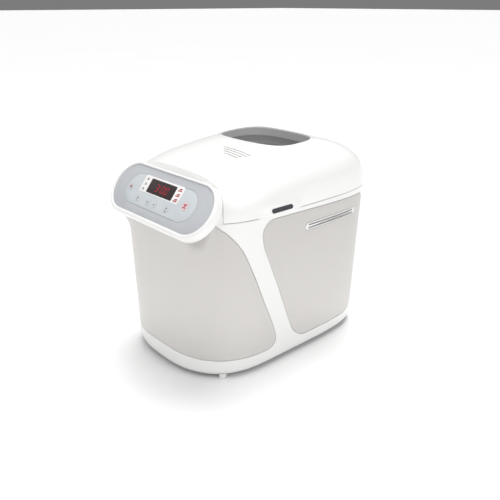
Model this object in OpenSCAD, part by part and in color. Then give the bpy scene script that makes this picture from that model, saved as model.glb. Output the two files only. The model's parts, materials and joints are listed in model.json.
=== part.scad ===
// Bread machine with a domed, windowed lid and a tilted control console.
// +X is the machine's right, -Y its front, +Z up. The origin is under the middle of the machine.

/* [Body] */
// Width of the body at the reference height
body_w = 240; // [200:2:300]
// Depth from the widest plane to the front
front_len = 118; // [98:1:142]
// Depth from the widest plane to the rear
rear_len = 224; // [187:1:270]
// Roundness power of the front plan curve
front_power = 2.65; // [2.2:0.05:4]
// Roundness power of the rear plan curve
rear_power = 5.3; // [4:0.1:7]
// Height of the lid line
lid_line = 231; // [195:1:277]
// Growth of the plan for each mm of height
flare = 0.027; // [0:0.001:0.04]
// Thickness of the moulded walls
wall = 2.6; // [2:0.1:3.5]
// Thickness of the silver panels
panel_t = 1.6; // [1.2:0.1:2]
// Height of the feet
foot_h = 7; // [6:1:16]

/* [Lid] */
// Rise of the dome over the middle of the machine
dome_h = 73.5; // [60:0.5:90]
// Power of the dome's side curve
dome_power = 2.83; // [2.4:0.01:3.4]
// Half width of the window
window_half_w = 70; // [55:1:80]
// Half depth of the window
window_half_d = 52; // [36:1:56]
// Place of the window's centre along Y
window_y = 43; // [38:1:48]

/* [Console] */
// Half length of the console face
face_half_len = 107; // [90:1:120]
// Half height of the console face
face_half_h = 34.5; // [31:0.5:38]
// Tilt of the face from the horizontal
face_tilt = 51; // [45:1:60]
// Height of the face's centre above the lid line
face_rise = 16.4; // [12:0.2:22]
// Distance of the face's centre behind the front
face_back = 20.5; // [16:0.5:26]
// Travel of a key
key_travel = 0.8; // [0.5:0.1:1]

/* [Oven and pan] */
// Air gap between the chamber and the side walls
chamber_gap = 13; // [10:1:20]
// Depth of the chamber
chamber_d = 160; // [150:1:176]
// Height of the chamber floor
chamber_z = 66; // [62:1:76]
// Gap between the pan and the chamber wall
pan_gap = 13; // [12:0.5:16]
// Thickness of the pan wall
pan_t = 1.6; // [1.2:0.1:2.4]

/* [Drive] */
// Radius of the drive spindle and of the pan shaft
spindle_r = 4; // [3.5:0.1:4.5]
// Radius of the large pulley
big_pulley_r = 44; // [38:1:48]
// Radius of the motor pulley
small_pulley_r = 9; // [8:0.5:11]
// Radius of the motor body
motor_r = 31; // [28:1:34]
// Running clearance of a shaft in a bush
run_fit = 0.05; // [0.02:0.01:0.1]

/* [Hidden] */
ref_z = 200;
segs = 64;
// centre of the plan's widest plane, so that the machine is centred on Y
widest_y = (front_len - rear_len) / 2 + 3;
gap = 0.4;
deck_t = 2.4;
skirt_z = 28;
base_t = 2.5;
front_y = widest_y - front_len;
rear_y = widest_y + rear_len;
floor_z = foot_h + base_t;

// chamber and pan, all worked out from the body
oven_half_w = body_w / 2 - wall - chamber_gap;
oven_y = window_y;
oven_half_d = chamber_d / 2;
oven_r = 22;
oven_t = 1;
deck_screw = 12;
deck_z = lid_line - deck_t;
pan_half_w = oven_half_w - oven_t - pan_gap;
pan_half_d = oven_half_d - oven_t - pan_gap;
pan_r = 18;
pan_z = chamber_z + 22;
pan_top = deck_z - 20;
pan_rim = 4;
bail_r = 2;
bail_z = pan_top - 6;
bail_x = pan_half_w + pan_rim + bail_r + 0.6;
bail_arm = pan_half_d + pan_rim + bail_r + 0.8;
stud_r = 2.2;
eye_half = bail_r + 0.5;

// drive line
belt_z = floor_z + 14;
pulley_t = 10;
belt_t = 1.6;
belt_gap = 0.3;
motor_x = 46;
motor_y = oven_y - oven_half_d - motor_r - 12;
motor_z = belt_z + pulley_t / 2 + 16;
motor_h = 62;
motor_shaft_r = 3;
spindle_top = chamber_z + 14;
hub_r = 15;
bush_r = 7;
dog_z = chamber_z + 4.5;
shaft_top = pan_z + 34;

// lid
rim_z = lid_line + 0.8;
lid_t = 2.6;
hinge_y = rear_y - 3.6;
hinge_z = lid_line + 5;
hinge_r = 4.4;
pin_r = 2;
hinge_x = 62;
ear_w = 7;

// console frame: u runs to the right, v up the slope, w out of the face
face_y = front_y + face_back;
face_z = lid_line + face_rise;
rim_low = 7;
rim_high = 3.5;
rim_end = 5;
pod_t = 11;
pod_depth = 20;
core_inset = 12;
hood_t = 2.4;
face_t = 2;
lip_h = 1.4;
key_spots = [[-69, -1, 5], [-42, -13, 4.4], [-18, -13, 4.4], [-2, -13, 4.4], [25, -13, 4.4], [56, 0, 6]];
display_u = -4.5;
display_v = 10;
display_hw = 29;
display_hh = 10.3;

// ---- shapes that the pieces share ----

function sgn_pow(v, p) = sign(v) * pow(abs(v), p);
// one point of the plan curve at height z, set in by d
function plan_pt(z, d, t) =
    let (grow = (z - ref_z) * flare - d, behind = sin(t) >= 0)
    [(body_w / 2 + grow) * sgn_pow(cos(t), 2 / (behind ? rear_power : front_power)),
        widest_y + ((behind ? rear_len : front_len) + grow)
        * sgn_pow(sin(t), 2 / (behind ? rear_power : front_power)), z];
function plan_ring(z, d) = [for (i = [0:segs - 1]) plan_pt(z, d, i * 360 / segs)];
// dome height over the plan at one plan point, with the shell set in by d
function dome_rise(y) = dome_h + 11.8 * y / 100 - 4.8 * y * y / 10000;
function dome_pt(s, d, t) =
    let (p = plan_pt(rim_z, d, t), m = 1 - pow(s, dome_power))
    let (x = p[0] * s, y = widest_y + (p[1] - widest_y) * s)
    [x, y, rim_z + (dome_rise(y) - d) * pow(max(m, 0), 1 / dome_power)];
function dome_ring(s, d) = [for (i = [0:segs - 1]) dome_pt(s, d, i * 360 / segs)];
// height of the dome at a plan point near the middle
function dome_z(x, y, d) =
    let (len = y < widest_y ? front_len : rear_len, n = y < widest_y ? front_power : rear_power)
    let (s = pow(pow(abs(x) / (body_w / 2 - d), n) + pow(abs(y - widest_y) / (len - d), n), 1 / n))
    rim_z + (dome_rise(y) - d) * pow(max(1 - pow(s, dome_power), 0), 1 / dome_power);

function band_faces(rows, n, close) =
    [for (r = [0:rows - (close ? 1 : 2)]) for (i = [0:n - 1])
        let (a = r * n + i, b = r * n + (i + 1) % n)
        let (c = ((r + 1) % rows) * n + (i + 1) % n, d = ((r + 1) % rows) * n + i)
        for (f = [[a, d, b], [b, d, c]]) f];
// closed wall that joins the last ring back to the first
module wall_loft(rings) {
    n = len(rings[0]);
    polyhedron([for (r = rings) for (p = r) p], band_faces(len(rings), n, true), convexity = 6);
}
// solid between the first and the last ring
module solid_loft(rings) {
    n = len(rings[0]);
    rows = len(rings);
    ends = [[for (i = [0:n - 1]) i], [for (i = [n - 1:-1:0]) (rows - 1) * n + i]];
    polyhedron([for (r = rings) for (p = r) p], concat(band_faces(rows, n, false), ends), convexity = 4);
}
module rounded_box(hw, hd, h, r) {
    linear_extrude(h) rounded_rect(hw, hd, r);
}
module rounded_rect(hw, hd, r) {
    square([2 * hw, 2 * (hd - r)], center = true);
    square([2 * (hw - r), 2 * hd], center = true);
    for (x = [-1, 1]) for (y = [-1, 1])
        translate([x * (hw - r), y * (hd - r)]) circle(r, $fn = 48);
}
module slot_shape(half_len, r) {
    square([2 * (half_len - r), 2 * r], center = true);
    for (x = [-1, 1]) translate([x * (half_len - r), 0]) circle(r, $fn = 64);
}
module on_face(w = 0) {
    translate([0, face_y, face_z]) rotate([face_tilt, 0, 0]) translate([0, 0, w]) children();
}
module at_oven(z = 0) {
    translate([0, oven_y, z]) children();
}
module tube(r, inner, h) {
    difference() {
        cylinder(r = r, h = h, $fn = 64);
        translate([0, 0, -1]) cylinder(r = inner, h = h + 2, $fn = 64);
    }
}
// side view outlines, in Y and Z, measured from the widest plane
function side_pts(pts) = [for (p = pts) [widest_y + p[0], p[1]]];
function front_edge(e) = side_pts([[-84 - e, lid_line + 6], [-84 - e, lid_line - 2], [-70 - e, lid_line - 15],
    [-56 - e, lid_line - 32], [-47 - e, lid_line - 49], [-32 - e, lid_line - 83], [-16 - e, lid_line - 121],
    [2 - e, 70], [10 - e, 46], [10 - e, 36], [0 - e, skirt_z + e], [-50, skirt_z + 1 + e],
    [-78, skirt_z + 3 + e], [-front_len - 30, skirt_z + 6 + e], [-front_len - 30, lid_line + 6]]);
side_end = 195;
function side_edge(e) = side_pts([[-22 + e, lid_line - 15], [-19 + e, lid_line - 36], [-3 + e, lid_line - 76],
    [17 + e, lid_line - 121], [35 + e, 65], [46 + e, 43], [54 + e, 34], [67 + e, skirt_z - 1 + e],
    [side_end - 25, skirt_z - 2 + e], [side_end - 9, skirt_z + 1 + e], [side_end - 2 - e, skirt_z + 10],
    [side_end - e, skirt_z + 22], [side_end - e, lid_line - 16], [side_end - 4 - e, lid_line - 9],
    [side_end - 12, lid_line - 6 - e], [-5, lid_line - 6 - e], [-14 + e, lid_line - 8 - e]]);
// turns a side view outline into a bar along X
module side_bar(x0, x1) {
    translate([x0, 0, 0]) rotate([90, 0, 90]) linear_extrude(x1 - x0) children();
}
module skin(d0, d1, z0, z1) {
    wall_loft([plan_ring(z0, d0), plan_ring(z1, d0), plan_ring(z1, d1), plan_ring(z0, d1)]);
}
rim_len = face_half_len + rim_end;
rim_r = face_half_h + (rim_low + rim_high) / 2;
rim_v = (rim_high - rim_low) / 2;
// the rim's bar and the narrower core behind it, as room for the console in other pieces
module core_bar(grow, depth) {
    on_face(-depth) linear_extrude(depth + 60)
        slot_shape(face_half_len - core_inset + grow, face_half_h - core_inset + grow);
}
module pod_room(grow) {
    on_face(-pod_t - grow) translate([0, rim_v, 0]) linear_extrude(90) slot_shape(rim_len + grow, rim_r + grow);
    core_bar(grow, pod_depth + grow);
}
// plan of everything in front of the console's back edge, moved back by d
function back_y(u, d) =
    let (over = max(0, abs(u) - rim_len + rim_r), v = rim_v + sqrt(max(0, rim_r * rim_r - over * over)))
    face_y + v * cos(face_tilt) + pod_t * sin(face_tilt) + d;
module front_plan(d) {
    steps = 36;
    polygon(concat([[body_w, front_y - 60], [body_w, face_y + d], [rim_len + d, face_y + d]],
        [for (i = [0:steps]) let (u = rim_len * cos(i * 180 / steps)) [u + sign(u) * d, back_y(u, d)]],
        [[-rim_len - d, face_y + d], [-body_w, face_y + d], [-body_w, front_y - 60]]));
}
module front_prism(d) {
    translate([0, 0, 60]) linear_extrude(400) front_plan(d);
}
module machine_screw(h) {
    cylinder(r = 3.4, h = 2, $fn = 32);
    translate([0, 0, 1]) cylinder(r = 1.75, h = h, $fn = 32);
}

// ---- housing ----

grille_y0 = widest_y + 59;
grille_y1 = min(widest_y + 170, rear_y - 50);
grille_z = lid_line - 31.5;
grille_r = 5.2;
screw_x = body_w / 2 - 34;
screw_ys = [widest_y - front_len / 2 + 14, rear_y - 58];

module grille_bars(x0, x1, grow) {
    translate([0, (grille_y0 + grille_y1) / 2, grille_z])
        side_bar(x0, x1) slot_shape((grille_y1 - grille_y0) / 2 + grow, grille_r + grow);
}

module housing() {
    big = body_w;
    color("white") difference() {
        wall_loft([plan_ring(foot_h + 4, 0), plan_ring(lid_line, 0), plan_ring(lid_line, wall + panel_t),
            plan_ring(floor_z + 1, wall + panel_t), plan_ring(foot_h, wall + panel_t), plan_ring(foot_h, 3)]);
        intersection() {
            skin(-8, panel_t + gap / 2, skirt_z - 8, lid_line + 4);
            union() {
                side_bar(-big, big) polygon(front_edge(0));
                side_bar(body_w / 4, big) polygon(side_edge(0));
                side_bar(-big, -body_w / 4) polygon(side_edge(0));
            }
        }
        pod_room(gap);
        grille_bars(body_w / 4, big, 0.4 + gap);
        grille_bars(-big, -body_w / 4, 0.4 + gap);
        translate([0, rear_y - 20, 44]) rotate([-90, 0, 0]) rounded_box(16 + gap, 12 + gap, 60, 3);
        for (x = [-1, 1]) translate([x * hinge_x, hinge_y, lid_line - 14])
            translate([-ear_w / 2 - gap, -6, 0]) cube([ear_w + 2 * gap, 20, 30]);
    }
}

module base_plate() {
    plate = [for (p = plan_ring(foot_h, wall + panel_t + gap)) [p[0], p[1]]];
    color("gainsboro") difference() {
        union() {
            translate([0, 0, foot_h]) linear_extrude(base_t) polygon(plate);
            for (x = [-1, 1]) for (y = screw_ys) translate([x * screw_x, y, foot_h]) cylinder(r = 7, h = 10, $fn = 48);
            at_oven(foot_h) tube(24, 19, 6);
        }
        for (x = [-1, 1]) for (y = screw_ys) translate([x * screw_x, y, 0]) {
            cylinder(r = 3.6, h = foot_h + 3, $fn = 32);
            cylinder(r = 1.9, h = 40, $fn = 32);
        }
        for (i = [-4:4]) translate([i * 13 - 2.5, motor_y - 24, 0]) cube([5, 40, 40]);
    }
}

module feet() {
    color("white") for (x = [-1, 1]) {
        translate([x * (body_w / 2 - 27), widest_y - 0.593 * front_len, 0]) cylinder(r1 = 4.4, r2 = 6, h = foot_h, $fn = 48);
        translate([x * (body_w / 2 - 32), rear_y - 38, 0]) cylinder(r1 = 4.4, r2 = 6, h = foot_h, $fn = 48);
    }
}

module front_panel() {
    color("silver") difference() {
        intersection() {
            skin(0, panel_t, skirt_z - 8, lid_line - 1);
            side_bar(-body_w, body_w) polygon(front_edge(gap));
        }
        pod_room(gap);
    }
}

// the silver collar that closes the space between the console rim and the body
neck_inset = 4;
neck_len = 34;
neck_from = 52;
neck_top = 18;
module body_solid(d) {
    solid_loft([plan_ring(lid_line - 80, d), plan_ring(lid_line + 20, d)]);
}
module neck_fairing() {
    color("silver") difference() {
        intersection() {
            on_face(-pod_t - neck_len) translate([0, rim_v, 0]) linear_extrude(neck_len - 0.2)
                slot_shape(rim_len - neck_inset, rim_r - neck_inset);
            front_prism(-hood_t - 2 * gap);
            for (x = [-1, 1]) translate([x * (neck_from + 60) - 60, front_y - 20, lid_line - 60])
                cube([120, 120, 60 + neck_top]);
        }
        on_face(-pod_t - neck_len - 1) translate([0, rim_v, 0]) linear_extrude(neck_len + 2)
            slot_shape(rim_len - neck_inset - 2, rim_r - neck_inset - 2);
        body_solid(-gap);
    }
}

module side_panel() {
    color("silver") difference() {
        intersection() {
            skin(0, panel_t, skirt_z - 8, lid_line - 1);
            side_bar(body_w / 4 + 1, body_w) polygon(side_edge(gap));
        }
        grille_bars(body_w / 4, body_w, 0.4 + gap);
    }
}
module right_panel() side_panel();
module left_panel() mirror([1, 0, 0]) side_panel();

module side_grille() {
    mid = (grille_y0 + grille_y1) / 2;
    color("white") difference() {
        intersection() {
            skin(-0.8, wall + panel_t, grille_z - 12, grille_z + 12);
            grille_bars(body_w / 4, body_w, 0);
        }
        for (dz = [-2.2, 2.2]) translate([0, mid, grille_z + dz])
            side_bar(body_w / 4, body_w) slot_shape((grille_y1 - grille_y0) / 2 - 5, 1.1);
    }
}
module right_grille() side_grille();
module left_grille() mirror([1, 0, 0]) side_grille();

module top_deck() {
    rim = [for (p = plan_ring(lid_line, wall + panel_t + gap)) [p[0], p[1]]];
    ear_low = lid_line - 12;
    color("whitesmoke") difference() {
        union() {
            translate([0, 0, deck_z]) linear_extrude(deck_t) polygon(rim);
            for (x = [-1, 1]) translate([x * hinge_x - ear_w / 2, hinge_y - hinge_r, ear_low])
                cube([ear_w, 2 * hinge_r, hinge_z - ear_low]);
            for (x = [-1, 1]) translate([x * hinge_x - ear_w / 2, hinge_y, hinge_z]) rotate([0, 90, 0])
                cylinder(r = hinge_r, h = ear_w, $fn = 64);
        }
        at_oven(deck_z - 10) rounded_box(oven_half_w - oven_t, oven_half_d - oven_t, 40, oven_r);
        pod_room(gap);
        for (x = [-1, 1]) translate([x * hinge_x - 20, hinge_y, hinge_z]) rotate([0, 90, 0])
            cylinder(r = pin_r + run_fit, h = 40, $fn = 48);
        for (x = [-1, 1]) for (y = [-1, 1])
            translate([x * (oven_half_w - 6), oven_y + y * (oven_half_d + deck_screw), deck_z - 10])
                cylinder(r = 1.9, h = 30, $fn = 32);
    }
}

// ---- oven chamber and heat ----

module oven_chamber() {
    color("lightgray") difference() {
        at_oven(chamber_z - oven_t)
            rounded_box(oven_half_w, oven_half_d, deck_z - chamber_z + oven_t - gap, oven_r);
        at_oven(chamber_z) rounded_box(oven_half_w - oven_t, oven_half_d - oven_t, 400, oven_r - oven_t);
        at_oven(chamber_z - 20) cylinder(r = bush_r + 3, h = 40, $fn = 64);
        for (y = [-1, 1]) translate([oven_half_w - 10, oven_y + y * 14, element_z])
            rotate([0, 90, 0]) cylinder(r = 5.2, h = 30, $fn = 48);
        translate([oven_half_w - 10, oven_y + 40, element_z + 22]) rotate([0, 90, 0])
            cylinder(r = 3.1, h = 30, $fn = 48);
    }
}

module chamber_bracket() {
    h = chamber_z - oven_t - floor_z;
    color("silver") for (y = [-1, 1]) at_oven(floor_z) translate([0, y * (oven_half_d - 24), 0]) {
        translate([-oven_half_w + 14, -9, h - 2]) cube([2 * (oven_half_w - 14), 18, 2]);
        for (x = [-1, 1]) translate([x * (oven_half_w - 15) - 1, -9, 0]) cube([2, 18, h]);
        for (x = [-1, 1]) translate([x * (oven_half_w - 15) - 8, -9, 0]) cube([16, 18, 2]);
    }
}

element_z = chamber_z + 15;
element_r = 3.2;
element_half_w = oven_half_w - oven_t - 5.2;
element_half_d = oven_half_d - oven_t - 5.2;
element_bend = 24;
// element loop round the chamber, with two ends that leave through the right wall
module heating_element() {
    w = element_half_w;
    d = element_half_d;
    b = element_bend;
    color("dimgray") at_oven(element_z) {
        for (x = [-1, 1]) for (y = [-1, 1]) translate([x * (w - b), y * (d - b), 0])
            rotate([0, 0, x > 0 ? (y > 0 ? 0 : 270) : (y > 0 ? 90 : 180)])
                rotate_extrude(angle = 90, $fn = 64) translate([b, 0]) circle(element_r, $fn = 32);
        for (y = [-1, 1]) translate([-w + b, y * d, 0]) rotate([0, 90, 0])
            cylinder(r = element_r, h = 2 * (w - b), $fn = 32);
        translate([-w, -d + b, 0]) rotate([-90, 0, 0]) cylinder(r = element_r, h = 2 * (d - b), $fn = 32);
        for (y = [-1, 1]) translate([w, y * (d - b), 0]) rotate([y * 90, 0, 0])
            cylinder(r = element_r, h = d - b - 14, $fn = 32);
        for (y = [-1, 1]) translate([w, y * 14, 0]) sphere(element_r, $fn = 32);
        for (y = [-1, 1]) translate([w, y * 14, 0]) rotate([0, 90, 0])
            cylinder(r = element_r, h = 12.5, $fn = 32);
    }
}
module element_insulators() {
    color("white") at_oven(element_z) for (y = [-1, 1]) translate([oven_half_w - oven_t - 1.4, y * 14, 0])
        rotate([0, 90, 0]) difference() {
            union() {
                cylinder(r = 5, h = 8, $fn = 48);
                cylinder(r = 6.6, h = 1.2, $fn = 48);
            }
            translate([0, 0, -1]) cylinder(r = element_r + 0.1, h = 20, $fn = 48);
        }
}
module temperature_probe() {
    color("silver") translate([oven_half_w - 9, oven_y + 40, element_z + 22]) rotate([0, 90, 0]) {
        cylinder(r = 2.5, h = 14, $fn = 48);
        sphere(2.5, $fn = 48);
    }
}
module probe_clip() {
    color("gray") translate([oven_half_w + gap / 2, oven_y + 40, element_z + 22]) rotate([0, 90, 0])
        difference() {
            rounded_box(8, 8, 1, 2);
            translate([0, 0, -1]) cylinder(r = 2.6, h = 4, $fn = 48);
        }
}
// leaf springs on the chamber floor that grip the pan's foot ring
clip_r = 31;
module pan_clips() {
    color("silver") at_oven(chamber_z) for (a = [45, 225]) rotate([0, 0, a]) {
        translate([clip_r, -6, 0]) cube([16, 12, 1]);
        translate([clip_r, -6, 0]) cube([1, 12, 12]);
        translate([clip_r + 1, 6, 10]) rotate([90, 0, 0]) cylinder(r = 1, h = 12, $fn = 32);
    }
}

// ---- drive ----

module spindle_housing() {
    z0 = belt_z + pulley_t + 4;
    color("gray") difference() {
        union() {
            at_oven(z0) cylinder(r = hub_r, h = chamber_z - oven_t - z0, $fn = 64);
            at_oven(chamber_z - oven_t - 3) cylinder(r = hub_r + 12, h = 3, $fn = 64);
            for (a = [0:60:300]) at_oven(chamber_z - oven_t - 9) rotate([0, 0, a])
                translate([hub_r - 2, -1, 0]) cube([11, 2, 7]);
        }
        at_oven(z0 - 1) cylinder(r = bush_r, h = 100, $fn = 64);
    }
}
module upper_bush() color("goldenrod") at_oven(chamber_z - 14) tube(bush_r, spindle_r + run_fit, 12);
module lower_bush() color("goldenrod") at_oven(belt_z + pulley_t + 4) tube(bush_r, spindle_r + run_fit, 8);
module drive_spindle() {
    color("silver") at_oven(belt_z - 4) cylinder(r = spindle_r, h = spindle_top - belt_z + 4, $fn = 64);
    color("silver") at_oven(belt_z + pulley_t + 2) cylinder(r = spindle_r + 2, h = 1.7, $fn = 64);
}
// two ears that turn the wings of the pan's coupling
module drive_coupling() {
    color("dimgray") difference() {
        union() {
            at_oven(dog_z) cylinder(r = 8, h = 8, $fn = 64);
            for (a = [0, 180]) at_oven(dog_z) rotate([0, 0, a]) translate([5, -4.2, 0]) cube([12, 8.4, 4]);
            for (a = [0, 180]) at_oven(dog_z) rotate([0, 0, a]) translate([13, -4.2, 0]) cube([4, 8.4, 13.5]);
        }
        at_oven(dog_z - 1) cylinder(r = spindle_r, h = spindle_top - dog_z + 1, $fn = 64);
    }
}
groove_pitch = 2.2;
module grooved_pulley(r, h) {
    difference() {
        cylinder(r = r, h = h, $fn = 96);
        for (i = [0:2]) translate([0, 0, h / 2 + (i - 1) * groove_pitch - 0.4])
            tube(r + 5, r - 0.9, 0.8);
    }
    for (z = [0, h - 1]) translate([0, 0, z]) cylinder(r = r + 1.8, h = 1, $fn = 96);
}
module large_pulley() {
    color("black") at_oven(belt_z) difference() {
        grooved_pulley(big_pulley_r, pulley_t);
        difference() {
            translate([0, 0, 3]) cylinder(r = big_pulley_r - 5, h = pulley_t, $fn = 96);
            cylinder(r = 11, h = pulley_t, $fn = 64);
            for (a = [0:60:300]) rotate([0, 0, a]) translate([8, -1.5, 0]) cube([big_pulley_r, 3, pulley_t - 2]);
        }
        translate([0, 0, -1]) cylinder(r = spindle_r, h = pulley_t + 2, $fn = 64);
    }
}
// belt round both pulleys, drawn as a closed band with two straight runs
module belt_outline(extra) {
    r0 = big_pulley_r + belt_gap + extra;
    r1 = small_pulley_r + belt_gap + extra;
    dx = motor_x;
    dy = motor_y - oven_y;
    l = norm([dx, dy]);
    lean = acos((r0 - r1) / l);
    dir = atan2(dy, dx);
    circle(r0, $fn = 96);
    translate([dx, dy]) circle(r1, $fn = 96);
    polygon([for (q = [[r0, 1, 0], [r0, -1, 0], [r1, -1, 1], [r1, 1, 1]])
        [q[2] * dx + q[0] * cos(dir + q[1] * lean), q[2] * dy + q[0] * sin(dir + q[1] * lean)]]);
}
module drive_belt() {
    color("black") at_oven(belt_z + 1.6) difference() {
        linear_extrude(pulley_t - 3.2) belt_outline(belt_t);
        translate([0, 0, -1]) linear_extrude(pulley_t) belt_outline(0);
    }
}
module at_motor(z) {
    translate([motor_x, motor_y, z]) children();
}
module motor_body() {
    color("silver") difference() {
        union() {
            at_motor(motor_z) cylinder(r = motor_r, h = motor_h, $fn = 96);
            at_motor(motor_z + motor_h / 2 - 9) rotate([0, 0, 45]) rounded_box(motor_r + 2, motor_r + 2, 18, 14);
            at_motor(motor_z - 5) cylinder(r = 12, h = 5, $fn = 64);
        }
        at_motor(motor_z - 10) cylinder(r = motor_shaft_r + run_fit, h = 36, $fn = 64);
        for (a = [0:30:330]) at_motor(motor_z + motor_h - 6) rotate([0, 0, a])
            translate([12, -1.2, 0]) cube([13, 2.4, 10]);
    }
}
module motor_shaft() {
    color("lightgray") at_motor(belt_z - 3) cylinder(r = motor_shaft_r, h = motor_z + 22 - belt_z, $fn = 64);
}
module motor_pulley() {
    color("gray") at_motor(belt_z) difference() {
        grooved_pulley(small_pulley_r, pulley_t);
        translate([0, 0, -1]) cylinder(r = motor_shaft_r, h = pulley_t + 2, $fn = 64);
    }
}
module motor_bracket() {
    h = motor_z - 5 - floor_z;
    color("gray") difference() {
        union() {
            at_motor(motor_z - 8) rounded_box(motor_r + 10, motor_r - 2, 3, 8);
            for (x = [-1, 1]) at_motor(floor_z) translate([x * (motor_r + 8) - 1.5, -4, 0])
                cube([3, motor_r - 8, h - 2]);
            for (x = [-1, 1]) at_motor(floor_z) translate([x * (motor_r + 4) - 6, -4, 0])
                cube([12, motor_r - 8, 2]);
        }
        at_motor(0) cylinder(r = 12, h = 200, $fn = 64);
    }
}
cap_x = -motor_x - 24;
module motor_capacitor() {
    color("whitesmoke") translate([cap_x, motor_y + 4, floor_z]) {
        cylinder(r = 15, h = 52, $fn = 64);
        translate([0, 0, 52]) cylinder(r = 11, h = 3, $fn = 64);
    }
}
board_h = 100;
module power_board() {
    color("darkgreen") translate([-58, oven_y - oven_half_d - 16, floor_z]) cube([60, 1.6, board_h]);
    color("dimgray") translate([-50, oven_y - oven_half_d - 34, floor_z + 30]) cube([24, 18.2, 22]);
    color("gray") translate([-28, oven_y - oven_half_d - 40, floor_z + 56]) cube([26, 24.2, 34]);
    color("black") translate([-50, oven_y - oven_half_d - 28, floor_z + 66]) cube([14, 12.2, 16]);
}

// ---- console ----

module console_shell() {
    color("white") difference() {
        union() {
            on_face(-pod_t + 3) translate([0, rim_v, 0]) linear_extrude(pod_t - 3 + lip_h - 2) slot_shape(rim_len, rim_r);
            on_face(-pod_t) translate([0, rim_v, 0]) linear_extrude(3.5) slot_shape(rim_len - 3, rim_r - 3);
            on_face(lip_h - 2.5) translate([0, rim_v, 0]) linear_extrude(2.5) slot_shape(rim_len - 1.8, rim_r - 1.8);
            on_face(-pod_depth) linear_extrude(pod_depth - 1)
                slot_shape(face_half_len - core_inset, face_half_h - core_inset);
            hood();
        }
        on_face(-face_t) linear_extrude(20) slot_shape(face_half_len + gap, face_half_h + gap);
        on_face(-pod_depth + 2.4) linear_extrude(40)
            slot_shape(face_half_len - core_inset - 2.4, face_half_h - core_inset - 2.4);
    }
}
// upright wall behind the console that the lid's front edge comes down against
module hood() {
    intersection() {
        difference() {
            translate([0, 0, lid_line]) linear_extrude(80) front_plan(-gap);
            translate([0, 0, lid_line - 1]) linear_extrude(90) front_plan(-gap - hood_t);
        }
        translate([-rim_len + 8, front_y - 5, lid_line]) cube([2 * rim_len - 16, 200, 60]);
        on_face(-120) translate([-2 * rim_len, -100, 0]) cube([4 * rim_len, 300, 120 - pod_t + 3.2]);
        body_solid(4);
    }
}
module key_holes(grow, depth) {
    for (k = key_spots) translate([k[0], k[1], -depth]) cylinder(r = k[2] + grow, h = depth + 10, $fn = 48);
}
module console_face() {
    color("darkgray") difference() {
        on_face(-face_t + gap / 2) linear_extrude(face_t - 0.4) slot_shape(face_half_len, face_half_h);
        on_face(-face_t - 2) translate([-1, 0, 0]) linear_extrude(20) slot_shape(77 + 0.2, 22.8 + 0.2);
    }
}
module key_plate() {
    color("lightsteelblue") difference() {
        on_face(-face_t + gap / 2) translate([-1, 0, 0]) linear_extrude(face_t - 0.2) slot_shape(77, 22.8);
        on_face(-face_t - 2) translate([display_u, display_v, 0]) rounded_box(display_hw + 0.2, display_hh + 0.2, 20, 1.7);
        on_face(0) key_holes(0.35, 10);
    }
}
module display_lens() {
    color("black") on_face(-face_t + gap / 2) translate([display_u, display_v, 0])
        rounded_box(display_hw, display_hh, face_t - 0.1, 1.5);
}
module display_module() {
    color("darkred") on_face(-board_w + 1.6) translate([display_u, display_v, 0])
        rounded_box(display_hw - 4, display_hh - 1.5, board_w - 1.6 - face_t - 0.2, 1);
}
board_w = 13;
module control_board() {
    color("green") on_face(-board_w) difference() {
        translate([0, 0, 0]) rounded_box(face_half_len - 26, face_half_h - core_inset - 4, 1.6, 3);
        for (x = [-1, 1]) translate([x * (face_half_len - 34), 0, -5]) cylinder(r = 1.6, h = 20, $fn = 32);
    }
}
// a key cap with its stem down to the switch on the board
module key_cap(i) {
    k = key_spots[i];
    on_face(0) translate([k[0], k[1], 0]) {
        translate([0, 0, -face_t - 0.6]) cylinder(r = k[2], h = face_t + 1.3, $fn = 48);
        translate([0, 0, -face_t - 2.6]) cylinder(r = k[2] + 1, h = 2, $fn = 48);
        translate([0, 0, -board_w + 1.6 + key_travel + 0.4])
            cylinder(r = 1.5, h = board_w - face_t - 2.6 - key_travel, $fn = 32);
    }
}
module key_menu() color("white") key_cap(0);
module key_colour() color("white") key_cap(1);
module key_time_down() color("white") key_cap(2);
module key_time_up() color("white") key_cap(3);
module key_size() color("white") key_cap(4);
module key_start() color("mistyrose") key_cap(5);

// ---- lid ----

window_tilt = -0.8;
ring_h = 3;
window_z = dome_z(0, window_y - window_half_d, 0) - ring_h + 0.3;
module on_window(w = 0) {
    translate([0, window_y, window_z]) rotate([window_tilt, 0, 0]) translate([0, 0, w]) children();
}
function oval(hw, hd, p, n) =
    [for (i = [0:n - 1]) let (t = i * 360 / n) [hw * sgn_pow(cos(t), 2 / p), hd * sgn_pow(sin(t), 2 / p)]];
module window_shape(d) {
    polygon(oval(window_half_w + d, window_half_d + d, 3, 48));
}
tab_y0 = widest_y - 24;
tab_y1 = widest_y + 42;
tab_out = 5;
module finger_ledge() {
    m = (tab_y0 + tab_y1) / 2;
    side = plan_pt(rim_z, 0, 0)[0];
    translate([side - 12, m, rim_z]) linear_extrude(7)
        polygon([for (p = oval(12 + tab_out, (tab_y1 - tab_y0) / 2, 3.2, 32)) if (p[0] > -1) p]);
}
dome_steps = [1, 0.985, 0.955, 0.9, 0.82, 0.7, 0.56, 0.42, 0.27, 0.1];
vent_rows = 4;
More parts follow.
